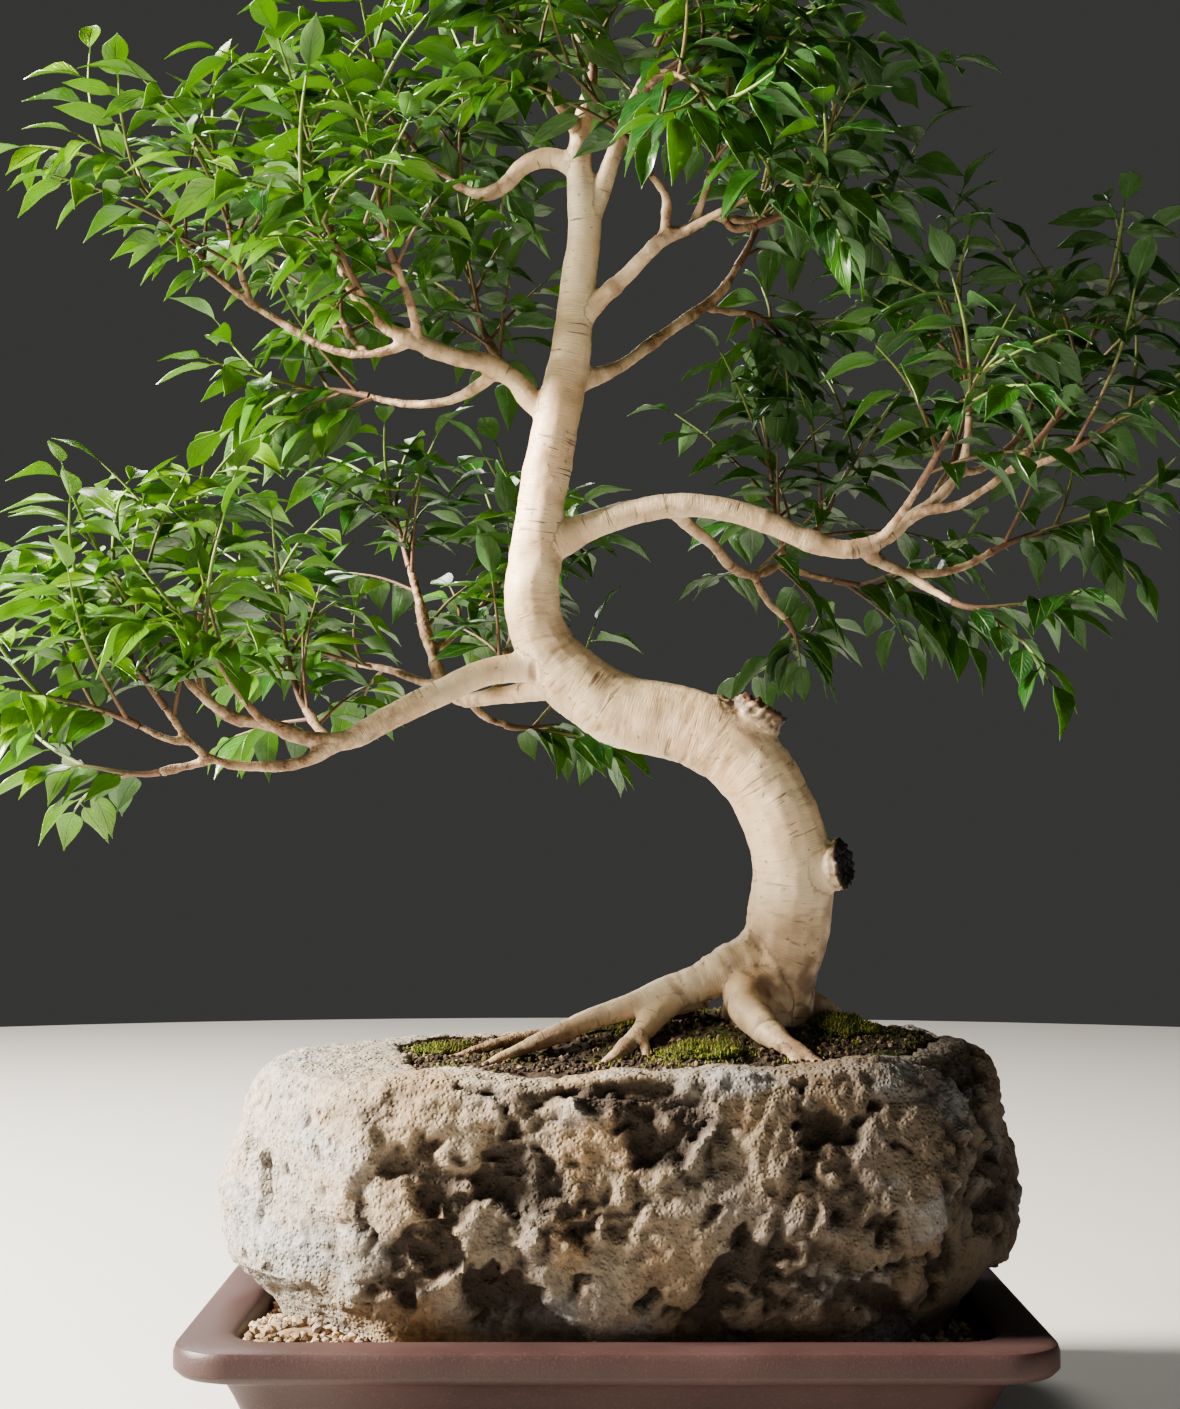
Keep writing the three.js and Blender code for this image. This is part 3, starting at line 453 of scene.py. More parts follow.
# The bed lies a little low, so that the grains stand proud of it.
reshaped(bed, lambda place, normal: 0.6 * MM * noise.noise(place * 300) - 0.9 * MM)
top_of_grit = surface_of(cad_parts["gravel"])
skin_of_rock = surface_of(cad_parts["rock"])
chance = random.Random(5)
places = []
for _ in range(GRAIN_COUNT):
    x, y = chance.uniform(-inner_x, inner_x), chance.uniform(-inner_y, inner_y)
    heap = math.exp(-((math.hypot(x - HEAP_X, y - HEAP_Y) / HEAP_REACH) ** 2))
    size = chance.triangular(2.2, 6.0, 3.4) * (1 + 0.45 * heap) * MM
    hit = landing(top_of_grit, spot(x, y, 80), 0.5)
    if hit is None:
        continue
    middle = hit + Vector((0, 0, size * chance.uniform(-0.1, 0.25)))
    nearest, outward, _, gap = skin_of_rock.find_nearest(middle)
    if gap < 0.42 * size or (middle - nearest).dot(outward) < 0:
        continue
    if max(abs(x) - (inner_x - 2), abs(y) - (inner_y - 2)) > -0.3 * size / MM:
        continue
    turn = turned_any_way(chance) @ Matrix.Diagonal((size, size * chance.uniform(0.7, 1), size, 1))
    places.append((chance.randrange(GRAIN_SHAPES), Matrix.Translation(middle) @ turn, chance.random()))
grains = strewn("grains", pebbles(GRAIN_SHAPES, 0.8, 3), places)
mark(bed.data, "tint", 0.3)
grit_piece = joined("gravel_grains", [grains, bed])


def tint_of(tree, name="tint"):
    return add(tree, "ShaderNodeAttribute", attribute_name=name).outputs["Fac"]


grit, tree, shader = new_finish("tan_grit")
grit_colours = [
    (0, (0.16, 0.105, 0.062)), (0.35, (0.36, 0.255, 0.155)),
    (0.7, (0.55, 0.43, 0.29)), (1, (0.3, 0.27, 0.24)),
]
mottle = grain(tree, 500, 5)
base = ramp(tree, tint_of(tree), grit_colours)
base = washed(tree, base, (mottle, 0.3, 0.7, 0, 0.5, (0.22, 0.14, 0.085)))
coated(tree, shader, base, 0.88, mottle, 0.0004)
clad(grit_piece, grit)
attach(grit_piece, "root")
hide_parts("gravel")


# Rock: one block of weathered, porous stone. Its flat breaks, deep pits and flutes are left as
# found, and a hollow for the roots is cut in its top.

stone_piece = solid_copy("rock", "pitted_rock")
remade(stone_piece, 2.1)
finish_with(stone_piece, "SMOOTH", factor=0.5, iterations=3)


def eased(low, high, value):
    """A value's way from one bound to the other as a share, eased at both ends."""
    share = min(1, max(0, (value - low) / (high - low)))
    return share * share * (3 - 2 * share)


def wander(place):
    """A smooth shift that changes from place to place, up to about one unit each way."""
    starts = (Vector((0, 0, 0)), Vector((31, 7, 2)), Vector((3, 19, 41)))
    return Vector([noise.noise(place + start) for start in starts])


def crag(place, normal):
    """How far the stone stands out or in at a place, in millimetres, and how much shade is painted in a
    hollow there.

    It is flat on top, smoother on its left and back, most pitted on its front, and plain below.
    """
    place = place - spot(0, 0, 0)
    bent = place + 0.007 * wander(place * 45) + 0.005 * wander(place * 125)
    side = 1 - max(0, normal.z) ** 2
    facing = 0.4 + 0.6 * eased(0.5, -0.1, normal.y)
    rugged = side * (0.12 + 0.88 * eased(-0.15, -0.085, place.x) * facing)
    drawn = Vector((bent.x, bent.y, bent.z * (1 - 0.55 * eased(0.02, 0.09, place.x))))
    # Flat breaks, each tilted its own way.
    _, (centre, *_) = noise.voronoi(place * 17)
    tilt = noise.cell_vector(centre * 7.3) - Vector((0.5, 0.5, 0.5))
    broken = 8 * (place * 17 - centre).dot(tilt)
    # Deep pits, and crumbled stretches round them.
    hollow = eased(0.05, 0.34, noise.fractal(bent * 27 + Vector((2, 5, 1)), 0.9, 2.1, 5))
    crumbled = eased(-0.2, 0.25, noise.noise(place * 19 + Vector((7, 1, 4))) + 0.5 * hollow)
    # Lumps with crevices between them, small knobs with cracks between them, and fine pores.
    (near, second, *_), _ = noise.voronoi(drawn * 58)
    lump = max(0, 1 - (1.35 * near) ** 2)
    crevice = eased(0.55, 0, second - near)
    (near, second, *_), _ = noise.voronoi(drawn * 130)
    knob = max(0, 1 - (1.4 * near) ** 2)
    crack = eased(0.4, 0, second - near)
    pore = eased(0.42, 0.6, noise.noise(place * 150)) * (1 - rugged)
    rough = noise.fractal(place * 190, 0.9, 2, 3)
    swell = 2.4 * noise.fractal(place * 26, 1.0, 2.1, 3)
    out = (broken + swell) * (0.35 + 0.65 * side)
    out += rugged * ((1 + 3 * crumbled) * lump + 1.2 - 7 * hollow - 3 * crumbled * crevice)
    out += (0.4 + rugged * (0.3 + 1.6 * crumbled)) * (knob - 0.5 * crack) - 1.8 * pore + 1.3 * rough
    # How deep in a hollow, crevice or pore a place lies, less on knobs: it sets the painted shade.
    pit_shade = rugged * (0.7 * hollow + crumbled * (0.6 * crevice + 0.3 * crack - 0.3 * knob)) + 0.8 * pore
    below = max(0.12, eased(0.045, 0.085, place.z))
    return below * out, below * pit_shade


# How much shade is painted into the stone at each point, darkest deep in its hollows.
pit_shades = []
moved = []
for v in stone_piece.data.vertices:
    out, pit_shade = crag(v.co, v.normal)
    moved.append(v.co + v.normal * out * MM)
    pit_shades.append(pit_shade)
stone_piece.data.vertices.foreach_set("co", np.array(moved, np.float32).ravel())
mark(stone_piece.data, "pit_shade", pit_shades)
stone_piece.data.update()
finish_with(stone_piece, "SMOOTH", factor=0.6, iterations=1)
pick(stone_piece)
bpy.ops.object.shade_smooth_by_angle(angle=math.radians(75))


def cells(tree, scale):
    """How far each place is from the nearest of many scattered points."""
    made = add(tree, "ShaderNodeTexVoronoi", {"Vector": own_places(tree), "Scale": scale}, feature="F1")
    return made.outputs["Distance"]


def worked(tree, operation, first, second=0):
    """Arithmetic on one or two values. Each may be a socket or a number."""
    return add(tree, "ShaderNodeMath", {0: first, 1: second}, operation=operation).outputs[0]


def rightwards(tree):
    """How far right each place lies, in metres."""
    return add(tree, "ShaderNodeSeparateXYZ", {"Vector": own_places(tree)}).outputs["X"]


stone, tree, shader = new_finish("pitted_stone")
patches = grain(tree, 11, 5)
tan = grain(tree, 17, 6, (1, 1, 0.6))
crumb = grain(tree, 240, 6)
pore = cells(tree, 420)
stone_colours = [(0.3, (0.12, 0.1, 0.077)), (0.5, (0.25, 0.212, 0.16)), (0.68, (0.43, 0.385, 0.305))]
base = ramp(tree, patches, stone_colours)
# How far right a place lies, moved by the patches: it pales the left and paints shade on the right.
pale_left_painted_shade_right = worked(tree, "ADD", rightwards(tree), stretched(tree, patches, 0.3, 0.7, -0.05, 0.05))
base = washed(
    tree,
    base,
    (tan, 0.42, 0.6, 0, 0.85, (0.35, 0.225, 0.11)),
    (pale_left_painted_shade_right, -0.15, -0.05, 0.5, 0, (0.43, 0.42, 0.38)),
    # Darker on the right: painted shade.
    (pale_left_painted_shade_right, 0, 0.11, 0, 0.78, (0.125, 0.098, 0.07)),
    (grain(tree, 19, 5, (0.7, 0.7, 1.4)), 0.52, 0.62, 0, 0.55, (0.31, 0.335, 0.35)),
    (crumb, 0.4, 0.6, 0.5, 0, (0.14, 0.11, 0.085)),
    # Painted shade deep in the hollows, crevices and pores.
    (tint_of(tree, "pit_shade"), 0.08, 0.72, 0, 0.93, (0.045, 0.032, 0.022)),
)
relief = worked(tree, "ADD", crumb, stretched(tree, pore, 0, 0.5, -0.5, 0))
coated(tree, shader, base, 0.93, relief, 0.0018)
clad(stone_piece, stone)
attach(stone_piece, "root")
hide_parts("rock")


# Soil: dark crumbly ground that fills the hollow in the rock, heaped towards the tree. Loose
# crumbs and bits of grit lie on it.

CRUMB_COUNT, CRUMB_SHAPES = 2600, 6
# The hollow's reach in x and in y.
HOLLOW_X, HOLLOW_Y = (-115, 160), (-84, 88)

ground = solid_copy("soil", "soil_ground")
remade(ground, 2.6)
reshaped(
    ground,
    lambda place, normal: max(0, normal.z) * MM * (1.5 * noise.fractal(place * 130, 0.9, 2, 3) - 0.3),
)
top_of_soil = surface_of(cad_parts["soil"])
chance = random.Random(8)
places = []
while len(places) < CRUMB_COUNT:
    x, y = chance.uniform(*HOLLOW_X), chance.uniform(*HOLLOW_Y)
    size = chance.triangular(1.2, 4.6, 1.9) * MM
    hit = landing(top_of_soil, spot(x, y, 230), 0.5)
    if hit is None or skin_of_rock.find_nearest(hit)[3] < 1.2 * size:
        continue
    turn = turned_any_way(chance) @ Matrix.Diagonal((size, size, size, 1))
    moved_up = Matrix.Translation(hit + Vector((0, 0, 0.15 * size)))
    places.append((chance.randrange(CRUMB_SHAPES), moved_up @ turn, chance.random()))
crumbs = strewn("crumbs", pebbles(CRUMB_SHAPES, 0.85, 9), places)
mark(ground.data, "tint", 0.3)
soil_piece = joined("soil_crumbs", [crumbs, ground])

soil, tree, shader = new_finish("dark_soil")
soil_colours = [
    (0, (0.022, 0.014, 0.009)), (0.5, (0.085, 0.055, 0.033)),
    (0.78, (0.18, 0.12, 0.07)), (0.9, (0.38, 0.28, 0.18)),
]
mottle = grain(tree, 420, 5)
base = ramp(tree, tint_of(tree), soil_colours)
base = washed(
    tree,
    base,
    (mottle, 0.35, 0.7, 0, 0.6, (0.035, 0.022, 0.014)),
    (grain(tree, 42), 0.55, 0.66, 0, 0.7, (0.085, 0.1, 0.02)),
)
coated(tree, shader, base, 0.96, mottle, 0.0009)
clad(soil_piece, soil)
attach(soil_piece, "root")
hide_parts("soil")


# Moss: low cushions of living moss pressed on the soil between the roots, each a mat of
# hundreds of short pointed tufts.

# How many tufts grow on a cushion at most, and how many are tried on the soil round it.
TUFTS_ON, TUFTS_ROUND = 950, 520

moss, tree, shader = new_finish("living_moss")
moss_colours = [
    (0, (0.045, 0.06, 0.012)), (0.4, (0.14, 0.17, 0.025)),
    (0.8, (0.33, 0.36, 0.05)), (1, (0.3, 0.2, 0.07)),
]
base = ramp(tree, tint_of(tree), moss_colours)
base = washed(tree, base, (grain(tree, 90), 0.4, 0.7, 0, 0.7, (0.09, 0.07, 0.025)))
coated(tree, shader, base, 0.95, grain(tree, 900, 3), 0.0008)


def tuft():
    """A bent, pointed shoot one unit high."""
    pick_nothing()
    bpy.ops.mesh.primitive_cone_add(vertices=4, radius1=0.24, radius2=0, depth=1, location=(0, 0, 0.5))
    made = bpy.context.object
    settle(made)
    pick_part(made, "FACE", lambda face: face.normal.z > -0.5)
    bpy.ops.mesh.subdivide(number_cuts=1)
    bpy.ops.object.mode_set(mode="OBJECT")
    for v in made.data.vertices:
        v.co.x += 0.22 * v.co.z**2
    return pattern_of(made)


shoots = [tuft()]
chance = random.Random(21)
for name in ("left", "middle", "front", "right", "back"):
    mat = solid_copy(f"moss_{name}", f"mat_{name}")
    remade(mat, 1.9)
    reshaped(mat, lambda place, normal: MM * (1.3 * noise.fractal(place * 160, 0.9, 2, 3) - 0.9))
    mark(mat.data, "tint", 0.25)
    skin = [face for face in mat.data.polygons if face.normal.z > 0.15]
    places = []
    for face in chance.sample(skin, min(len(skin), TUFTS_ON)):
        sway = Vector((chance.uniform(-1, 1), chance.uniform(-1, 1), 0))
        lean = face.normal.lerp(UP, 0.5) + 0.35 * sway
        tall = chance.uniform(1.3, 2.9) * MM
        leaning = lean.to_track_quat("Z", "Y").to_matrix().to_4x4()
        turn = leaning @ spun(chance)
        sized = Matrix.Diagonal((tall, tall, tall, 1))
        rooted = Matrix.Translation(face.center - face.normal * 0.2 * MM)
        places.append((0, rooted @ turn @ sized, chance.random()))
    low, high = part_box(f"moss_{name}")
    middle, reach = (low + high) / 2, (high - low) / 2
    for _ in range(TUFTS_ROUND):
        x, y = chance.gauss(middle.x, 0.9 * reach.x), chance.gauss(middle.y, 1.1 * reach.y)
        hit = landing(top_of_soil, Vector((x, y, high.z + 0.05)), 0.6)
        if hit is None or noise.noise(hit * 60) < -0.1:
            continue
        if skin_of_rock.find_nearest(hit)[3] < 3 * MM:
            continue
        tall = chance.uniform(1.2, 3.0) * MM
        turn = spun(chance) @ Matrix.Rotation(chance.uniform(0, 0.9), 4, "X")
        sized = Matrix.Diagonal((1.3 * tall, 1.3 * tall, tall, 1))
        rooted = Matrix.Translation(hit - Vector((0, 0, 0.3 * MM)))
        places.append((0, rooted @ turn @ sized, chance.random()))
    cushion = joined(f"moss_cushion_{name}", [strewn("tufts", shoots, places), mat])
    clad(cushion, moss)
    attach(cushion, "root")
    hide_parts(f"moss_{name}")


# Wood: the roots, trunk, limbs and forks have grown as one piece, with smooth pale bark that
# wrinkles across each bend and turns brown and rough on the thinner limbs. Two limbs were
# sawn off: the upper cut is weathered brown, and the lower one is black and has a flaking collar.

# Each point of a route is x, y and z in millimetres and the radius there.
TRUNK_ROUTE = [
    (77, 5, 168, 25), (77, 5, 188, 24.5), (78, 4, 205, 22.5), (82, 3, 221, 21), (87, 2, 238, 20.5),
    (89, 1, 254, 21), (90, 0, 270, 20.5), (87, -1, 286, 20), (81, -2, 302, 19.8), (68, -2, 322, 20),
    (48, -1, 338, 19.7), (26, 1, 345, 19), (4, 3, 350, 18.6), (-20, 4, 366, 17.4), (-34, 3, 382, 15.6),
    (-41, 1, 405, 13.6), (-40, 0, 428, 13.4), (-37, -1, 454, 12.4), (-32, -2, 482, 12),
    (-26, -2, 510, 11.3), (-21, -1, 540, 10.2), (-18, 0, 570, 9.4), (-15, 0, 599, 9), (-17, 0, 624, 6.8),
    (-17, 1, 645, 5.4), (-12, 1, 668, 3.6),
]
ROOT_ROUTES = [
    [(78, 2, 226, 19), (61, -1, 221, 13.4), (45, -4, 215, 10.2), (24, -8, 208, 8.2), (9, -12, 203, 6.6),
     (-10, -16, 197, 5.6), (-30, -22, 189, 4.6), (-48, -27, 182, 3.4), (-66, -32, 174, 2)],
    [(32, -6, 209, 8.4), (21, -15, 199, 6.8), (12, -27, 190, 5.6), (1, -41, 181, 4.2),
     (-13, -54, 173, 2.2)],
    [(12, -27, 190, 4.6), (15, -38, 182, 3.2), (17, -48, 173, 1.9)],
    [(74, -2, 215, 15), (66, -14, 208, 12), (69, -28, 198, 9), (79, -42, 189, 6.4), (90, -56, 182, 4.4),
     (107, -70, 173, 2.2)],
    [(79, -42, 189, 4.6), (84, -56, 182, 3.4), (88, -68, 173, 2)],
    [(80, 6, 210, 14), (97, 12, 202, 9), (108, 20, 196, 7), (122, 31, 187, 5.2), (141, 41, 175, 3)],
    [(76, 8, 204, 14), (80, 32, 200, 8.4), (74, 52, 190, 6), (62, 68, 181, 4.4), (52, 76, 174, 3)],
    [(46, 2, 208, 7), (16, 12, 197, 5), (-20, 12, 189, 4), (-54, 4, 184, 3.2), (-88, -6, 174, 2)],
]
STUB_ROUTES = [
    [(62, -2, 331, 14), (69, -3, 342, 13.4), (75, -4, 352, 12.8)],
    [(88, 2, 269, 15), (102, -4, 271, 12.8), (115, -10, 273, 11.8)],
]
BRANCH_ROUTES = {
    "lower_left": [(-28, 1, 374, 10), (-48, 0, 372, 7.6), (-68, -4, 368, 7), (-90, -10, 357, 6.8),
        (-115, -16, 344, 6.4), (-134, -20, 334, 5.8), (-152, -22, 335, 4.2), (-171, -23, 342, 3.8),
        (-190, -24, 346, 3.3), (-203, -24, 358, 2.8), (-206, -21, 380, 2.4), (-206, -18, 398, 2)],
    "back_left": [(-26, 8, 364, 8), (-60, 38, 360, 4.6), (-86, 68, 363, 4.2), (-98, 84, 386, 3.4),
        (-107, 98, 420, 2.7), (-112, 104, 436, 2.2)],
    "upper_left": [(-24, -1, 498, 8.5), (-40, -1, 507, 6.4), (-51, -2, 519, 5.6), (-64, -5, 526, 5.2),
        (-81, -8, 529, 4.8), (-100, -12, 536, 4.2), (-119, -16, 545, 3.4), (-130, -20, 557, 2.9),
        (-137, -22, 572, 2.5), (-141, -22, 586, 2.2)],
    "arch_left": [(-17, 1, 627, 6.4), (-28, 4, 634, 5.6), (-37, 6, 635, 5.4), (-47, 8, 631, 4.8),
        (-56, 12, 623, 4.2), (-66, 15, 619, 3.6), (-77, 20, 623, 2.6), (-87, 24, 631, 2.4),
        (-98, 28, 641, 2.2), (-108, 31, 653, 2.1)],
    "leader_right": [(-15, 0, 596, 7), (-8, -1, 612, 5.4), (-2, -3, 628, 4.7), (5, -6, 648, 4),
        (11, -9, 662, 3.3), (18, -12, 676, 2.6), (22, -13, 686, 2.2)],
    "upper_right": [(-20, -1, 547, 8), (-6, -4, 560, 5), (5, -8, 569, 4.4), (15, -14, 578, 4),
        (24, -18, 586, 3.6), (38, -17, 592, 3), (52, -16, 599, 2.7), (61, -17, 592, 2.4),
        (72, -17, 594, 2.2)],
    "back_right": [(-24, 0, 515, 7), (2, 10, 527, 3.6), (17, 22, 540, 3.2), (33, 34, 554, 3),
        (47, 44, 566, 2.8), (58, 52, 577, 2.5), (67, 58, 592, 2.2)],
    "right": [(-38, -1, 432, 10.5), (-14, 0, 443, 7.8), (7, 0, 450, 6.8), (29, 0, 454, 6.4),
        (52, 0, 453, 6.2), (77, 0, 446, 6), (100, 0, 436, 5.6), (120, 0, 432, 5.2), (138, -1, 438, 4.4),
        (150, -2, 448, 3.8), (162, -3, 456, 3.3), (174, -4, 470, 2.8), (179, -5, 488, 2.4),
        (180, -5, 502, 2.1)],
    "right_back": [(30, 1, 453, 4.8), (40, 20, 446, 3.6), (53, 45, 440, 3.3), (65, 70, 431, 3),
        (77, 85, 429, 2.8), (93, 100, 437, 2.5), (106, 110, 448, 2.2)],
    "lower_left_low": [(-134, -20, 334, 4.2), (-152, -25, 324, 3.4), (-174, -30, 321, 3),
        (-195, -35, 324, 2.7), (-206, -40, 332, 2.4), (-218, -44, 349, 2.1)],
    "lower_left_inner": [(-190, -24, 346, 2.7), (-201, -32, 354, 2.4), (-214, -38, 369, 2.1)],
    "lower_left_side": [(-195, -35, 324, 2.4), (-209, -35, 321, 2.2), (-222, -34, 318, 2)],
    "lower_left_back": [(-134, -20, 334, 3.4), (-146, 0, 338, 2.8), (-158, 20, 352, 2.2)],
    "lower_left_front": [(-171, -24, 342, 2.7), (-175, -37, 346, 2.4), (-180, -50, 354, 2.1)],
    "lower_left_far": [(-206, -40, 332, 2.3), (-217, -48, 334, 2.2), (-229, -54, 340, 2)],
    "back_left_side": [(-86, 68, 363, 3.2), (-108, 80, 372, 2.7), (-124, 92, 378, 2.4),
        (-140, 100, 381, 2.1)],
    "back_left_low": [(-78, 58, 362, 2.9), (-70, 76, 352, 2.4), (-58, 90, 347, 2.1)],
    "back_left_mid": [(-98, 84, 386, 2.9), (-88, 96, 396, 2.5), (-76, 104, 408, 2.1)],
    "back_left_inner": [(-60, 38, 360, 3.2), (-60, 53, 372, 2.7), (-56, 66, 386, 2.1)],
    "upper_left_far": [(-100, -12, 536, 3.2), (-125, -4, 531, 2.7), (-146, 4, 536, 2.6),
        (-168, 10, 549, 2.5), (-186, 14, 561, 2.4), (-204, 16, 575, 2.2), (-216, 16, 588, 2)],
    "upper_left_low": [(-58, -4, 523, 3.8), (-79, 10, 512, 2.9), (-99, 20, 510, 2.6),
        (-115, 29, 513, 2.3), (-128, 34, 517, 2.1)],
    "upper_left_rise": [(-98, -12, 535, 3), (-102, -24, 553, 2.6), (-109, -34, 571, 2.1)],
    "upper_left_mid": [(-186, 14, 561, 2.3), (-190, 9, 571, 2.2), (-193, 6, 582, 2)],
    "upper_left_front": [(-119, -16, 545, 2.7), (-122, -30, 549, 2.4), (-126, -46, 556, 2.1)],
    "upper_left_back": [(-125, -4, 531, 2.6), (-135, 28, 545, 2.4), (-146, 54, 564, 2.1)],
    "upper_left_inner": [(-51, -2, 519, 3.4), (-58, 16, 531, 2.7), (-66, 34, 547, 2.1)],
    "arch_left_back": [(-87, 24, 631, 2.4), (-87, 36, 641, 2.2), (-83, 48, 653, 2.1)],
    "leader_cross": [(24, -18, 586, 3.2), (26, -21, 596, 2.9), (26, -24, 606, 2.6), (18, -31, 616, 2.2)],
    "leader_droop": [(5, -6, 648, 3.2), (13, -34, 656, 2.7), (19, -62, 654, 2.2)],
    "leader_front": [(11, -9, 662, 3), (26, -30, 668, 2.5), (38, -50, 670, 2.1)],
    "leader_back": [(2, -5, 640, 3.2), (12, 22, 652, 2.6), (19, 44, 662, 2.1)],
    "leader_side": [(11, -9, 662, 2.8), (24, -3, 670, 2.4), (38, 3, 678, 2.1)],
    "leader_left": [(-17, 1, 646, 3.6), (-29, -14, 658, 2.8), (-40, -27, 669, 2.2)],
    "upper_right_low": [(52, -16, 598, 2.4), (66, -5, 600, 2.3), (77, 4, 603, 2)],
    "upper_right_up": [(38, -17, 592, 2.6), (44, -22, 604, 2.3), (48, -28, 617, 2.1)],
    "upper_right_front": [(34, -17, 590, 2.6), (44, -32, 592, 2.3), (54, -46, 594, 2.1)],
    "back_right_side": [(47, 44, 566, 2.4), (60, 58, 568, 2.2), (72, 68, 569, 2)],
    "right_tall": [(150, -2, 448, 3.2), (160, -9, 451, 2.9), (171, -14, 452, 2.7), (184, -19, 459, 2.4),
        (196, -22, 468, 2.2), (207, -24, 479, 2)],
    "right_mid": [(174, -4, 470, 2.5), (188, 4, 474, 2.3), (200, 9, 483, 2.1)],
    "right_low": [(120, 0, 434, 3.8), (132, 4, 428, 3.4), (146, 8, 422, 3), (162, 12, 421, 2.7),
        (180, 15, 425, 2.4), (195, 17, 433, 2.1)],
    "right_far": [(196, -22, 468, 2.2), (208, -31, 470, 2.1), (219, -36, 474, 2)],
    "right_rear": [(162, -3, 456, 2.8), (168, 22, 466, 2.4), (176, 40, 478, 2.1)],
    "right_front": [(134, -1, 436, 2.9), (142, -24, 446, 2.5), (149, -44, 458, 2.1)],
    "right_hang": [(146, 8, 422, 2.6), (159, -3, 412, 2.3), (170, -11, 404, 2)],
    "right_back_out": [(93, 100, 437, 2.5), (109, 104, 431, 2.3), (123, 106, 428, 2)],
    "right_back_rear": [(93, 100, 437, 2.5), (95, 112, 452, 2.3), (93, 120, 466, 2.1)],
    "right_back_hang": [(77, 85, 429, 2.7), (84, 88, 416, 2.4), (95, 90, 405, 2.1)],
}


def strands(name, routes, roundness, steps):
    """Tapering rods drawn along routes. A point is a place in the row frame and a radius in millimetres."""
    line = bpy.data.curves.new(name, "CURVE")
    line.dimensions = "3D"
    line.bevel_depth = MM
    line.bevel_resolution = roundness
    line.resolution_u = steps
    line.use_fill_caps = True
    for route in routes:
        strand = line.splines.new("BEZIER")
        strand.bezier_points.add(len(route) - 1)
        for knot, (place, radius) in zip(strand.bezier_points, route):
            knot.co = place
            knot.radius = radius
            knot.handle_left_type = knot.handle_right_type = "AUTO"
    pick(put(name, line))
    bpy.ops.object.convert(target="MESH")
    return bpy.context.object


wood_routes = [TRUNK_ROUTE, *ROOT_ROUTES, *STUB_ROUTES, *BRANCH_ROUTES.values()]
placed = [[(spot(x, y, z), radius) for x, y, z, radius in route] for route in wood_routes]
wood = strands("birch_wood", placed, 6, 6)
remade(wood, 1.42)

# Marks every two millimetres along each limb: its middle, the way along and the way across it, its
# radius, how far along it is, and which limb it is.
stations = []
for limb, route in enumerate(wood_routes):
    run = 0.1 * limb
    across = Vector((0.3, 1, 0.2))
    for (x0, y0, z0, r0), (x1, y1, z1, r1) in zip(route, route[1:]):
        start, end = spot(x0, y0, z0), spot(x1, y1, z1)
        along = (end - start).normalized()
        across = (across - along * across.dot(along)).normalized()
        steps = max(2, round((end - start).length / (2 * MM)))
        for step in range(steps):
            share = step / steps
            radius = (r0 + (r1 - r0) * share) * MM
            stations.append((start.lerp(end, share), along, across, radius, run, limb))
            run += (end - start).length / steps
finder = KDTree(len(stations))
for number, station in enumerate(stations):
    finder.insert(station[0], number)
finder.balance()

# Where the bark lies on its limb, how thick the limb is there, and where two limbs meet.
mesh = wood.data
bark_places = np.zeros((len(mesh.vertices), 3), np.float32)
girths = np.zeros(len(mesh.vertices), np.float32)
limb_numbers = np.zeros(len(mesh.vertices), int)
joints = wood.vertex_groups.new(name="joints")
for vertex in mesh.vertices:
    found = [(gap - stations[number][3], number) for _, number, gap in finder.find_n(vertex.co, 12)]
    middle, along, across, girth, run, limb = stations[min(found)[1]]
    arm = vertex.co - middle
    bark_places[vertex.index] = (arm.dot(across), arm.dot(along.cross(across)), run + arm.dot(along))
    girths[vertex.index] = girth
    limb_numbers[vertex.index] = limb
    others = [far for far, other in found if stations[other][5] != limb]
    if others and min(others) < 3.5 * MM:
        joints.add([vertex.index], 1.0, "REPLACE")
mark(mesh, "bark", bark_places)
mark(mesh, "girth", girths)
finish_with(wood, "SMOOTH", factor=0.5, iterations=14, vertex_group="joints")
finish_with(wood, "SMOOTH", factor=0.5, iterations=3)

# How black each stub's cut is, how wide its collar of torn bark is, and how dark that is.
STUB_LOOKS = [(0.5, 6, 1), (1, 3, 0.55)]
stubs = []
for route, look in zip(STUB_ROUTES, STUB_LOOKS):
    end, before = Vector(route[-1][:3]), Vector(route[-2][:3])
    stubs.append((spot(*end), (end - before).normalized(), *look))
# Where the bark is creased across, seen from the front: x, z and reach in millimetres.
CREASES = [
    (-36, 371, 12), (-6, 341, 12), (41, 329, 14), (64, 316, 14), (86, 322, 10), (96, 262, 10),
    (60, 214, 22),
]
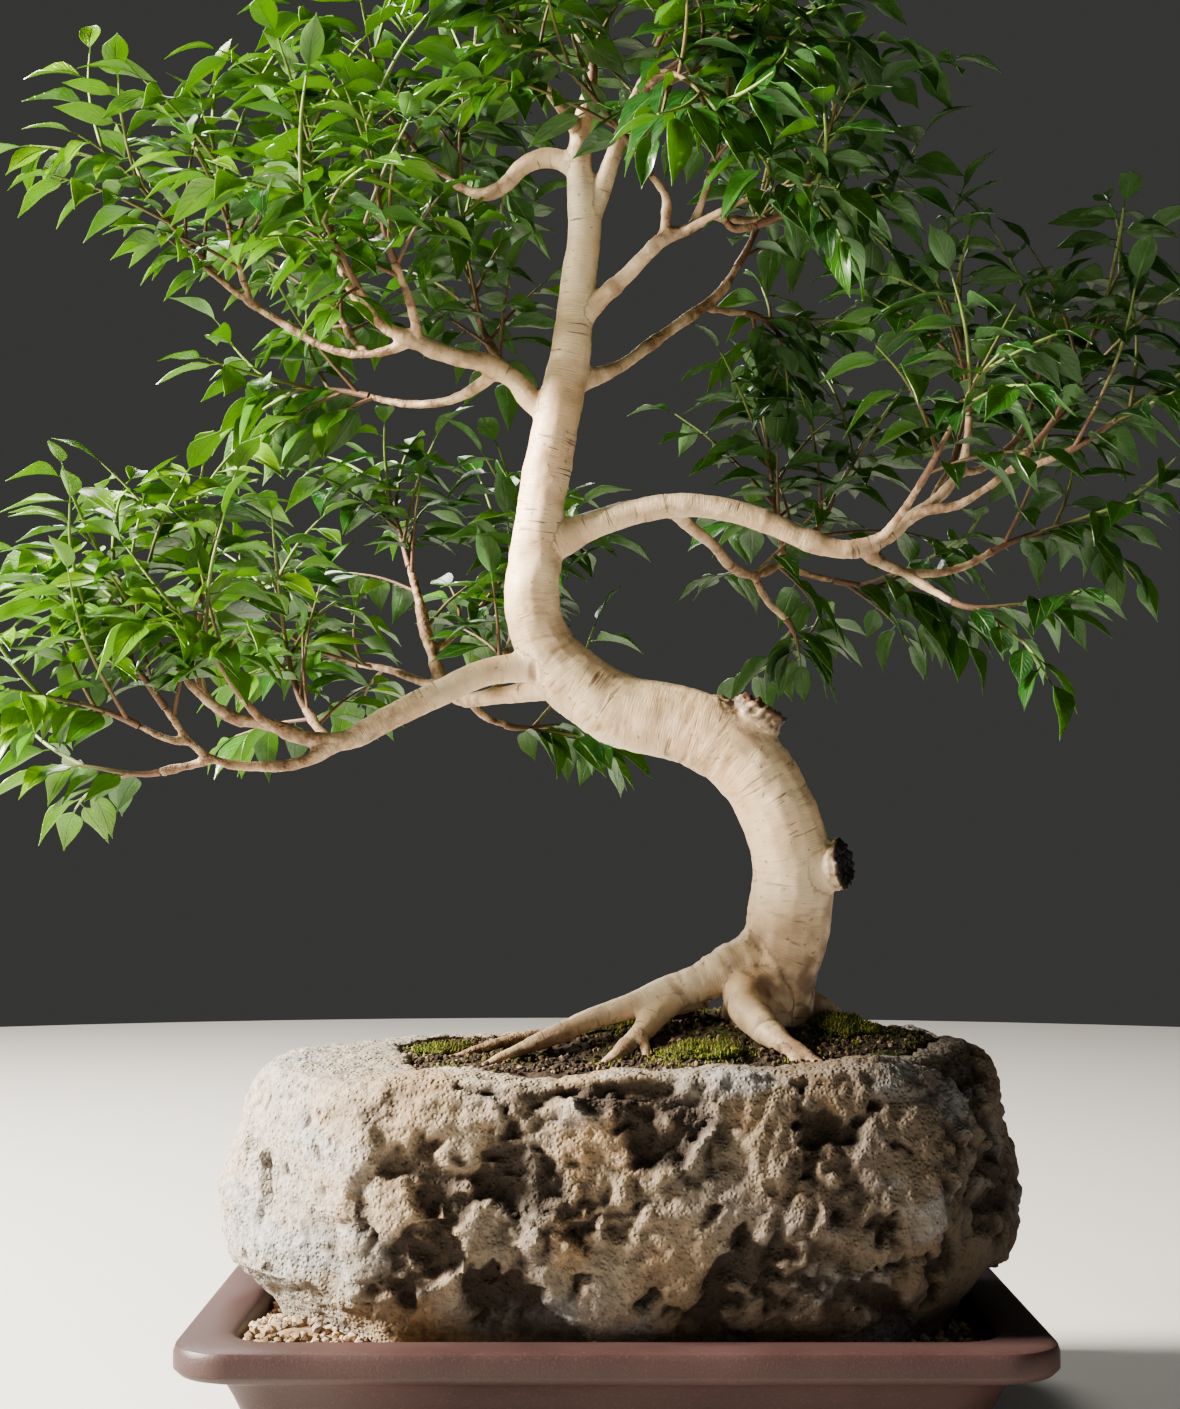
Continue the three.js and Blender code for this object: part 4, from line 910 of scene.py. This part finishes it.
# The middle of the trunk's foot, where the roots meet, and how far its creases and brown reach.
BASE, BASE_REACH = (70, 0, 205), 38
cuts = np.zeros(len(mesh.vertices), np.float32)
collars = np.zeros(len(mesh.vertices), np.float32)
brown_and_painted_shade_values = np.zeros(len(mesh.vertices), np.float32)
moved = np.zeros((len(mesh.vertices), 3), np.float32)
for vertex in mesh.vertices:
    place, normal = vertex.co, vertex.normal
    girth = float(girths[vertex.index])
    run = float(bark_places[vertex.index][2])
    arm = Vector(bark_places[vertex.index][:2])
    thick = min(1, girth / (14 * MM))
    # Wrinkles across the limb, at creases and at the foot, and gentle lumps.
    bend = 0.004 * noise.noise(place * 55)
    wrinkle = noise.noise(Vector((arm.x * 44, arm.y * 44, (run + bend) * 300)))
    wrinkle += 0.6 * noise.noise(Vector((arm.x * 90, arm.y * 90, (run + bend) * 760)))
    lump = noise.fractal(place * 42, 1.0, 2, 3)
    from_base = place - spot(*BASE)
    near_base = math.exp(-((from_base.length / (BASE_REACH * MM)) ** 2))
    creased = 0.12 + max(0, 1.3 * noise.noise(place * 24) - 0.15) + near_base
    for x, z, reach in CREASES:
        gap = place - spot(x, place.y / MM, z)
        creased += math.exp(-((math.hypot(gap.x, gap.z) / (reach * MM)) ** 2))
    creased = min(1.2, creased)
    # Thin limbs have knots and a rough skin.
    knot = eased(0.15, 0.5, noise.noise(Vector((limb_numbers[vertex.index] * 5.1, 0.5, run * 75))))
    out = thick * ((0.45 + 0.8 * near_base) * creased * wrinkle + 1.4 * lump) + 0.1 * noise.noise(place * 700)
    out += (1 - thick) * (0.35 * noise.noise(place * 260) + 0.9 * knot - 0.25)
    # Brown on knots. Brown at the foot, most on its right, partly bark colour and partly painted shade.
    # Painted shade in deep wrinkles and down the right side.
    patch = 0.5 + 0.9 * noise.fractal(place * 90, 1.0, 2, 3)
    brown_and_painted_shade = near_base * patch * (1.5 + 34 * from_base.x) + 0.7 * (1 - thick) * knot
    # Painted shade in the deep troughs of the wrinkles.
    brown_and_painted_shade += 0.8 * min(1, creased) * eased(-0.35, -0.7, wrinkle)
    # Painted shade on the side that faces right, away from the light.
    brown_and_painted_shade += 0.6 * thick * patch * eased(0.4, 0.95, normal.x)
    brown_and_painted_shade_values[vertex.index] = min(1, max(0, brown_and_painted_shade))
    # A ragged, hollow cut on each stub, with a collar of flaking bark behind it.
    for cut, way, black, wide, dark in stubs:
        gap = place - cut
        if gap.length > 26 * MM:
            continue
        before = gap.dot(way)
        off = (gap - way * before).length
        face = min(1, max(0, (before + 2.4 * MM) / (1.6 * MM))) if off < 14 * MM else 0
        cuts[vertex.index] = max(cuts[vertex.index], face * black)
        ragged = noise.fractal(place * 270, 0.8, 2, 3)
        ring = math.exp(-(((before + 4 * MM) / (wide * MM)) ** 2))
        out += face * (2.4 * ragged - 1.6 * (1 - off / (11 * MM))) + ring * (0.6 + 2.2 * ragged)
        flaked = ring * dark * min(1, max(0, 0.75 + 1.2 * ragged))
        collars[vertex.index] = max(collars[vertex.index], flaked)
    moved[vertex.index] = place + normal * out * MM
mesh.vertices.foreach_set("co", moved.ravel())
mark(mesh, "cut", cuts)
mark(mesh, "collar", collars)
mark(mesh, "bark_brown_and_painted_shade", brown_and_painted_shade_values)
mesh.update()
pick(wood)
bpy.ops.object.shade_smooth()

bark, tree, shader = new_finish("pale_bark")
laid = add(tree, "ShaderNodeAttribute", attribute_name="bark").outputs["Vector"]
girth = tint_of(tree, "girth")
bark_colours = [(0.3, (0.64, 0.43, 0.25)), (0.5, (0.85, 0.655, 0.43)), (0.7, (0.92, 0.77, 0.56))]
base = ramp(tree, grain(tree, 26, 4), bark_colours)
rough = stretched(tree, girth, 0.002, 0.0078, 1.25, 0)
# More of the bark is the rough brown kind on the left limbs: painted shade.
rough = worked(tree, "ADD", rough, stretched(tree, rightwards(tree), -0.13, -0.035, 0.55, 0))
rough = worked(tree, "MULTIPLY", rough, stretched(tree, grain(tree, 62, 4), 0.36, 0.6, 0.35, 1))
rough_colours = [(0.32, (0.11, 0.055, 0.03)), (0.5, (0.33, 0.2, 0.11)), (0.68, (0.6, 0.44, 0.29))]
base = mixed(tree, rough, base, ramp(tree, grain(tree, 170, 4), rough_colours))
dashes = grain(tree, 1, 3, (46, 46, 520), laid)
fine = grain(tree, 1, 4, (140, 140, 1500), laid)
bends = stretched(tree, grain(tree, 34, 3), 0.48, 0.62, 0, 1)
dash = worked(tree, "MULTIPLY", stretched(tree, dashes, 0.61, 0.67, 0, 0.85), bends)
base = mixed(tree, dash, base, (0.17, 0.09, 0.05))
base = washed(
    tree,
    base,
    (fine, 0.54, 0.7, 0, 0.25, (0.55, 0.38, 0.24)),
    (grain(tree, 330), 0.66, 0.72, 0, 0.7, (0.26, 0.15, 0.085)),
    # Brown knots and foot, with painted shade in the wrinkles and on the right side.
    (tint_of(tree, "bark_brown_and_painted_shade"), 0, 1, 0, 0.85, (0.24, 0.14, 0.08)),
    (tint_of(tree, "collar"), 0.15, 0.8, 0, 0.9, (0.1, 0.062, 0.04)),
)
cut = tint_of(tree, "cut")
sawn = ramp(tree, cut, [(0.0, (0.3, 0.2, 0.13)), (0.5, (0.12, 0.065, 0.036)), (0.9, (0.012, 0.01, 0.009))])
base = washed(tree, base, (cut, 0.1, 0.4, 0, 1, sawn))
relief = worked(tree, "ADD", worked(tree, "MULTIPLY", fine, 0.45), worked(tree, "MULTIPLY", dash, -0.7))
relief = worked(tree, "ADD", relief, worked(tree, "MULTIPLY", rough, grain(tree, 600)))
coated(tree, shader, base, stretched(tree, fine, 0.3, 0.7, 0.4, 0.58), relief, 0.0008)
clad(wood, bark)
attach(wood, "root")
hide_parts("trunk")


# Sprays: the last length of each branch, green and soft, with side twigs. The leaves stand left
# and right in turn on short stalks. Each is narrow and folded along its midrib, has a gently
# waved edge, and hangs over towards a drawn-out tip.

# Where each spray's stem ends, in millimetres.
SPRAY_TIPS = {
    "leader": (-16, 4, 728), "lower_left": (-216, -8, 456), "back_left": (-130, 108, 488),
    "upper_left": (-158, -30, 660), "arch_left": (-138, 44, 712), "leader_right": (48, -22, 722),
    "upper_right": (132, -12, 676), "back_right": (98, 84, 648), "right": (158, -10, 580),
    "right_back": (152, 118, 520), "lower_left_low": (-262, -62, 398), "lower_left_inner": (-262, -42, 436),
    "lower_left_side": (-278, -30, 320), "lower_left_back": (-184, 56, 432),
    "lower_left_front": (-206, -104, 392), "lower_left_far": (-282, -66, 352),
    "back_left_side": (-206, 108, 404), "back_left_low": (-16, 112, 346), "back_left_mid": (-40, 112, 462),
    "back_left_inner": (-44, 72, 448), "upper_left_far": (-276, 8, 648), "upper_left_low": (-184, 50, 520),
    "upper_left_rise": (-124, -62, 644), "upper_left_mid": (-208, -10, 652),
    "upper_left_front": (-150, -122, 588), "upper_left_back": (-178, 98, 622),
    "upper_left_inner": (-86, 76, 618), "arch_left_back": (-74, 96, 706), "leader_cross": (-62, -64, 688),
    "leader_droop": (48, -142, 606), "leader_front": (88, -112, 652), "leader_back": (36, 102, 698),
    "leader_side": (98, 24, 716), "leader_left": (-84, -70, 716), "upper_right_low": (138, 30, 612),
    "upper_right_up": (62, -66, 668), "upper_right_front": (102, -102, 588),
    "back_right_side": (104, 108, 552), "right_tall": (264, -28, 584), "right_mid": (232, 16, 570),
    "right_low": (258, 24, 448), "right_far": (282, -50, 510), "right_rear": (214, 92, 540),
    "right_front": (176, -112, 508), "right_hang": (222, -22, 400), "right_back_out": (182, 112, 416),
    "right_back_rear": (84, 122, 536), "right_back_hang": (104, 104, 384),
}
# The leaf's length is in millimetres, and its width and thickness are shares of it.
LEAF_LENGTH, LEAF_WIDTH, LEAF_THICKNESS = 35, 0.39, 0.011
TWIG_LENGTH = 64
GOLDEN_ANGLE = math.pi * (3 - math.sqrt(5))
# The share of the leaf's length at each row across it, and how wide it is there.
LEAF_ROWS = [
    (0, 0.06), (0.15, 0.055), (0.2, 0.36), (0.28, 0.72), (0.38, 0.94), (0.5, 1),
    (0.62, 0.91), (0.74, 0.67), (0.85, 0.35), (0.93, 0.12), (1, 0.01),
]


def leaf_shape(droop, fold, wave, phase, curl):
    """A leaf one unit long from the foot of its stalk to its tip, along Y with its upper side up."""
    pick_nothing()
    bands = len(LEAF_ROWS) - 1
    bpy.ops.mesh.primitive_grid_add(x_subdivisions=2, y_subdivisions=bands, size=1)
    made = bpy.context.object
    for v in made.data.vertices:
        along, width = LEAF_ROWS[round((v.co.y + 0.5) * bands)]
        side = round(2 * v.co.x)
        half = side * width * LEAF_WIDTH / 2
        ripple = wave * math.sin(phase + 9 * along + 1.3 * side) * abs(half) * 1.3
        hang = -droop * along**2 + 0.05 * math.sin(3.1 * along)
        out = half * (1 + 0.05 * math.sin(phase + 11 * along)) + curl * along**2
        v.co = (out, along, fold * abs(half) + ripple + hang)
    finish_with(made, "SOLIDIFY", thickness=LEAF_THICKNESS, offset=0)
    return pattern_of(made)


LEAF_SHAPES = [
    leaf_shape(0.16, 0.35, 0.1, 0.0, 0.02),
    leaf_shape(0.24, 0.5, 0.14, 1.4, -0.05),
    leaf_shape(0.1, 0.28, 0.12, 2.6, 0.06),
    leaf_shape(0.32, 0.42, 0.1, 3.9, -0.02),
    leaf_shape(0.2, 0.62, 0.16, 5.0, 0.04),
    leaf_shape(0.05, 0.2, 0.09, 0.8, -0.07),
]


def fraction(a, b, c):
    """A steady fraction from 0 to 1 for three whole numbers."""
    knot = ((a + 11) * 374761393 ^ (b + 17) * 668265263 ^ (c + 5) * 1274126177) & 0xFFFFFFFF
    knot = ((knot ^ knot >> 15) * 2246822519) & 0xFFFFFFFF
    knot = ((knot ^ knot >> 13) * 3266489917) & 0xFFFFFFFF
    return (knot ^ knot >> 16) / 4294967296


def sideways(along):
    """The level way across a stem."""
    flat = along.cross(UP)
    return Vector((1, 0, 0)) if flat.length < 0.15 else flat.normalized()


def axis_of(name):
    """The spray's own stem, a smooth bow from the end of its limb to its furthest tip: places, radii."""
    route = TRUNK_ROUTE if name == "leader" else BRANCH_ROUTES[name]
    end, before = Vector(route[-1][:3]), Vector(route[-2][:3])
    leaving = (end - before).normalized()
    tip = Vector(SPRAY_TIPS[name])
    reach = (tip - end).length / 3
    arriving = ((tip - end).normalized() - 0.35 * UP).normalized()
    pulls = (end, end + leaving * reach, tip - arriving * reach, tip)
    made = []
    for step in range(10):
        t = step / 9
        shares = ((1 - t) ** 3, 3 * t * (1 - t) ** 2, 3 * t * t * (1 - t), t**3)
        place = sum((pull * share for pull, share in zip(pulls, shares)), Vector())
        made.append((place, route[-1][3] * (1 - t) ** 1.3 + 0.62 * t))
    return made


def on_stem(stem, share):
    """Where a stem is, and which way it runs, at a share of its length."""
    place = min(share * (len(stem) - 1), len(stem) - 1.001)
    start, end = stem[int(place)][0], stem[int(place) + 1][0]
    return start.lerp(end, place - int(place)), (end - start).normalized()


def fork(stem, share, number, twig, kind, turn):
    """Where a twig leaves its stem, the way along the stem, and the way out from it.

    Each twig leaves a golden angle round the stem from the one before.
    """
    place, along = on_stem(stem, share)
    side = sideways(along)
    roll = GOLDEN_ANGLE * twig + 2 * math.pi * fraction(number, kind, 11) + turn
    return place, along, side * math.cos(roll) + side.cross(along) * math.sin(roll)


def twig_of(axis, number, twig, turn):
    """A side twig of the spray's stem, a little bowed."""
    share = 0.1 + 0.145 * twig
    place, along, outward = fork(axis, share, number, twig, 0, turn)
    angle = 0.85 + 0.3 * (fraction(number, twig, 2) - 0.5)
    heading = along * math.cos(angle) + outward * math.sin(angle)
    length = TWIG_LENGTH * (1.1 - 0.45 * share) * (0.75 + 0.4 * fraction(number, twig, 3))
    tip = place + heading * length + UP * 0.2 * length
    bow = along * 0.08 * length
    bowed = [(place.lerp(tip, 0.33) + bow * 0.9, 0.95), (place.lerp(tip, 0.67) + bow * 0.9, 0.8)]
    return [(place, 1.1), *bowed, (tip, 0.5)]


def limb_twig_of(limb, number, twig, turn):
    """A short twig on the last part of the spray's limb."""
    place, along, outward = fork(limb, 0.94 - 0.13 * twig, number, twig, 1, turn)
    heading = (along * 0.6 + outward * 0.8).normalized()
    length = 34 + 22 * fraction(number, twig, 12)
    tip = place + heading * length + UP * 0.06 * length
    return [(place, 1.1), (place.lerp(tip, 0.5) + along * 0.06 * length, 0.85), (tip, 0.5)]


def leaf_place(place, heading, number, slot, shrink=1.0):
    """The matrix that sets a leaf with its foot at a place in millimetres, pointing along a heading."""
    flat = (UP - heading * UP.dot(heading)).normalized()
    flat = Matrix.Rotation(1.2 * (fraction(number, slot, 6) - 0.5), 3, heading) @ flat
    across = heading.cross(flat)
    length = LEAF_LENGTH * (0.78 + 0.3 * fraction(number, slot, 7)) * MM * shrink
    turned = Matrix((across, heading, flat)).transposed().to_4x4()
    return Matrix.Translation(spot(*place)) @ turned @ Matrix.Scale(length, 4)


def side_heading(along, number, slot, turn):
    """The way a side leaf points: forwards, out to its own side and down."""
    hand = 1 if slot % 2 else -1
    heading = (
        along * 0.62
        + sideways(along) * hand * (0.75 + 0.2 * fraction(number, slot, 4))
        + UP * (-0.3 - 0.45 * fraction(number, slot, 5))
    ).normalized()
    return Matrix.Rotation(turn, 3, along) @ heading


def is_open(place, room):
    """Whether a place lies inside the object's own size and some millimetres clear of the wood."""
    for axis in range(3):
        if not cad_low[axis] + 3 * MM <= place[axis] <= cad_high[axis] - 3 * MM:
            return False
    _, number, gap = finder.find(place)
    return gap > stations[number][3] + room * MM


def is_free(matrix):
    """Whether a leaf that a matrix sets is open at its middle, further out and at its tip."""
    return all(is_open(matrix @ Vector((0, share, -0.15 * share)), 1.5) for share in (0.45, 0.75, 1.0))


young, tree, shader = new_finish("young_stem")
stem_colours = [
    (0, (0.19, 0.1, 0.06)), (0.3, (0.17, 0.1, 0.055)),
    (0.75, (0.16, 0.17, 0.05)), (1, (0.2, 0.3, 0.07)),
]
base = ramp(tree, tint_of(tree), stem_colours)
base = washed(tree, base, (grain(tree, 500, 3), 0.5, 0.7, 0, 0.4, (0.3, 0.2, 0.12)))
coated(tree, shader, base, 0.5, grain(tree, 900, 2), 0.0003)

leafy, tree, shader = new_finish("leaf_blade")
on_leaf = add(tree, "ShaderNodeUVMap", uv_map="UVMap").outputs["UV"]
across, lengthways = add(tree, "ShaderNodeSeparateXYZ", {"Vector": on_leaf}).outputs[:2]
from_middle = worked(tree, "ABSOLUTE", worked(tree, "SUBTRACT", across, 0.5))
outwards = worked(tree, "MULTIPLY", from_middle, 34)
slant = worked(tree, "SUBTRACT", worked(tree, "MULTIPLY", lengthways, 62), outwards)
veins = stretched(tree, worked(tree, "SINE", slant), 0.72, 1.0, 0, 1)
midrib = stretched(tree, from_middle, 0.0, 0.055, 1, 0)
leaf_tone_and_painted_light_colours = [
    (0, (0.008, 0.04, 0.014)), (0.35, (0.02, 0.09, 0.018)),
    (0.7, (0.085, 0.23, 0.018)), (1, (0.24, 0.43, 0.026)),
]
# Each leaf's tint is its brightness: its own tone together with painted light and shade.
base = ramp(tree, tint_of(tree), leaf_tone_and_painted_light_colours)
cloud = grain(tree, 130, 3)
base = washed(tree, base, (cloud, 0.35, 0.7, 0, 0.35, (0.05, 0.17, 0.04)))
base = mixed(tree, worked(tree, "MULTIPLY", veins, 0.22), base, (0.2, 0.4, 0.1))
base = mixed(tree, worked(tree, "MULTIPLY", midrib, 0.55), base, (0.3, 0.46, 0.14))
base = mixed(tree, worked(tree, "MULTIPLY", tint_of(tree, "under"), 0.45), base, (0.16, 0.3, 0.12))
rib = worked(tree, "SUBTRACT", worked(tree, "MULTIPLY", veins, -0.35), midrib)
coated(tree, shader, base, stretched(tree, cloud, 0.3, 0.7, 0.22, 0.36), rib, 0.0005)
shader.inputs["Coat Weight"].default_value = 0.25
shader.inputs["Coat Roughness"].default_value = 0.18
glow = add(tree, "ShaderNodeBsdfTranslucent", {"Color": mixed(tree, 0.6, base, (0.5, 0.78, 0.04))})
blend = add(tree, "ShaderNodeMixShader", {0: 0.38, 1: shader.outputs["BSDF"], 2: glow.outputs["BSDF"]})
tree.links.new(blend.outputs["Shader"], tree.nodes["Material Output"].inputs["Surface"])

TWIG_LEAVES, STEM_LEAVES = 5, 8
# Sparse sprays have fewer twigs than these six, and some limbs carry short twigs of their own.
ALL_TWIGS = (0, 1, 2, 3, 4, 5)
SPARSE_TWIGS = {
    "lower_left_side": (1, 4), "right_hang": (1, 4), "right_back_hang": (1, 3), "back_left_low": (1, 2, 3),
}
LIMB_TWIGS = {
    "upper_left": 2, "upper_left_far": 2, "upper_left_low": 1, "upper_left_rise": 2, "upper_left_mid": 2,
    "upper_left_front": 2, "upper_left_back": 3, "upper_left_inner": 4, "arch_left": 5, "arch_left_back": 3,
    "back_left": 3, "back_left_side": 3, "back_left_mid": 3, "back_left_inner": 4, "lower_left": 2,
    "lower_left_back": 3, "lower_left_low": 1, "right_back": 4, "right_back_rear": 3, "leader_left": 2,
}
# How far a twig or a leaf is turned round its stem, in turn, until it is clear of the wood.
TURNS = (0, 0.45, -0.45, 0.9, -0.9, 1.5, -1.5)


def leaf_of(matrix, number, slot, brightness):
    """A leaf to be strewn: which shape it has, where it stands, and how bright it is from 0 to 1."""
    return int(len(LEAF_SHAPES) * fraction(number, slot, 8)), matrix, min(1, max(0, brightness))


def side_leaf(stem, share, number, slot, brightness):
    """A leaf at a share of a stem as a list of one, or an empty list where the wood is in its way."""
    place, along = on_stem(stem, share)
    for turn in TURNS:
        matrix = leaf_place(place, side_heading(along, number, slot, turn), number, slot)
        if is_free(matrix):
            return [leaf_of(matrix, number, slot, brightness)]
    return []


def tip_leaf(stem, number, slot, brightness):
    """The leaf at the end of a stem, a little smaller, where it is clear of the wood."""
    heading = (on_stem(stem, 1)[1] - 0.3 * UP).normalized()
    matrix = leaf_place(stem[-1][0], heading, number, slot, 0.92)
    return [leaf_of(matrix, number, slot, brightness)] if is_free(matrix) else []


for number, name in enumerate(SPRAY_TIPS):
    axis = axis_of(name)
    limb = [(Vector(point[:3]), point[3]) for point in BRANCH_ROUTES.get(name, TRUNK_ROUTE[-6:])]
    choices = []
    for twig in SPARSE_TWIGS.get(name, ALL_TWIGS):
        choices.append([twig_of(axis, number, twig, turn) for turn in TURNS])
    for twig in range(LIMB_TWIGS.get(name, 0)):
        choices.append([limb_twig_of(limb, number, twig, turn) for turn in TURNS])
    twigs = []
    for tries in choices:
        open_tries = [stem for stem in tries if all(is_open(spot(*place), 2) for place, _ in stem[1:])]
        twigs.extend(open_tries[:1])
    # Leaves are painted lighter towards the light on the left, and painted with shade behind and deep inside.
    lit = 0.44 - 0.0016 * SPRAY_TIPS[name][0] - 0.2 * eased(10, 100, SPRAY_TIPS[name][1])
    leaves = []
    for slot in range(STEM_LEAVES):
        bright = lit - 0.3 + 0.075 * slot + 0.45 * (fraction(number, slot, 9) - 0.5)
        leaves += side_leaf(axis, 0.2 + 0.1 * slot, number, slot + 1, bright)
    leaves += tip_leaf(axis, number, 0, lit + 0.2)
    for twig, stem in enumerate(twigs):
        for slot in range(TWIG_LEAVES):
            key = 10 * (twig + 1) + slot + 1
            bright = lit - 0.32 + 0.14 * slot + 0.5 * (fraction(number, key, 9) - 0.5)
            leaves += side_leaf(stem, 0.22 + 0.155 * slot, number, key, bright)
        leaves += tip_leaf(stem, number, 10 * (twig + 1), lit + 0.1 * fraction(number, twig, 9))
    stem_routes = [[(spot(*place), radius) for place, radius in stem] for stem in (axis, *twigs)]
    stems = strands(f"stems_{name}", stem_routes, 1, 3)
    first, last = spot(*axis[0][0]), spot(*axis[-1][0])
    ages = [min(1, (v.co - first).length / (last - first).length) for v in stems.data.vertices]
    mark(stems.data, "tint", ages)
    clad(stems, young)
    pick(stems)
    bpy.ops.object.shade_smooth()
    blades = strewn(f"blades_{name}", LEAF_SHAPES, leaves)
    clad(blades, leafy)
    pick(blades)
    bpy.ops.object.shade_smooth_by_angle(angle=math.radians(60))
    whole = joined(f"leafy_{name}", [blades, stems])
    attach(whole, "root")
    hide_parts(f"spray_{name}")


# Stage: a pale floor under soft studio light from the left, and the camera at the photograph's
# place and angle.

floor_finish, tree, shader = new_finish("pale_floor")
coated(tree, shader, (0.62, 0.6, 0.57), 0.8)
pick_nothing()
floor_place = (0, 0, cad_low.z - 0.2 * MM)
bpy.ops.mesh.primitive_circle_add(vertices=96, radius=2.4, fill_type="NGON", location=floor_place)
floor = bpy.context.object
floor.name = "floor"
settle(floor)
clad(floor, floor_finish)
floor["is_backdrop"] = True


def softbox(name, place, target, power, width, height, colour):
    """A rectangular light at a place that faces a target."""
    made = bpy.data.lights.new(name, "AREA")
    made.shape = "RECTANGLE"
    made.size, made.size_y = width, height
    made.energy = power
    made.color = colour
    lamp = put(name, made)
    lamp.location = place
    lamp.rotation_euler = (Vector(target) - Vector(place)).to_track_quat("-Z", "Y").to_euler()


softbox("key_light", (-2.1, -0.36, 1.35), (0, 0, 0.4), 330, 0.45, 0.45, (1, 0.95, 0.87))
softbox("fill_light", (1.3, -1.6, 0.8), (0, 0, 0.35), 2.4, 1.2, 1.2, (0.9, 0.95, 1))
softbox("back_light", (-0.7, 1.5, 1.5), (0, 0, 0.45), 20, 0.7, 0.7, (1, 0.98, 0.94))
world = bpy.data.worlds.new("studio")
world.use_nodes = True
world.node_tree.nodes["Background"].inputs["Color"].default_value = (0.2, 0.2, 0.19, 1)
world.node_tree.nodes["Background"].inputs["Strength"].default_value = 0.28
bpy.context.scene.world = world
bpy.context.scene.view_settings.look = "AgX - Medium High Contrast"

# The photograph is 1409 pixels high, its lens is 2242 of them long, and it looks a little upwards.
SENSOR, FOCAL_PIXELS, PHOTO_HEIGHT, TILT = 36, 2242, 1409, 93.3
lens = bpy.data.cameras.new("camera")
lens.sensor_width = SENSOR
lens.lens = SENSOR * FOCAL_PIXELS / PHOTO_HEIGHT
lens.clip_start = 0.05
camera = put("camera", lens)
camera.location = spot(-12, -1130, 288)
camera.rotation_euler = (math.radians(TILT), 0, 0)
bpy.context.scene.camera = camera

low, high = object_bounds()
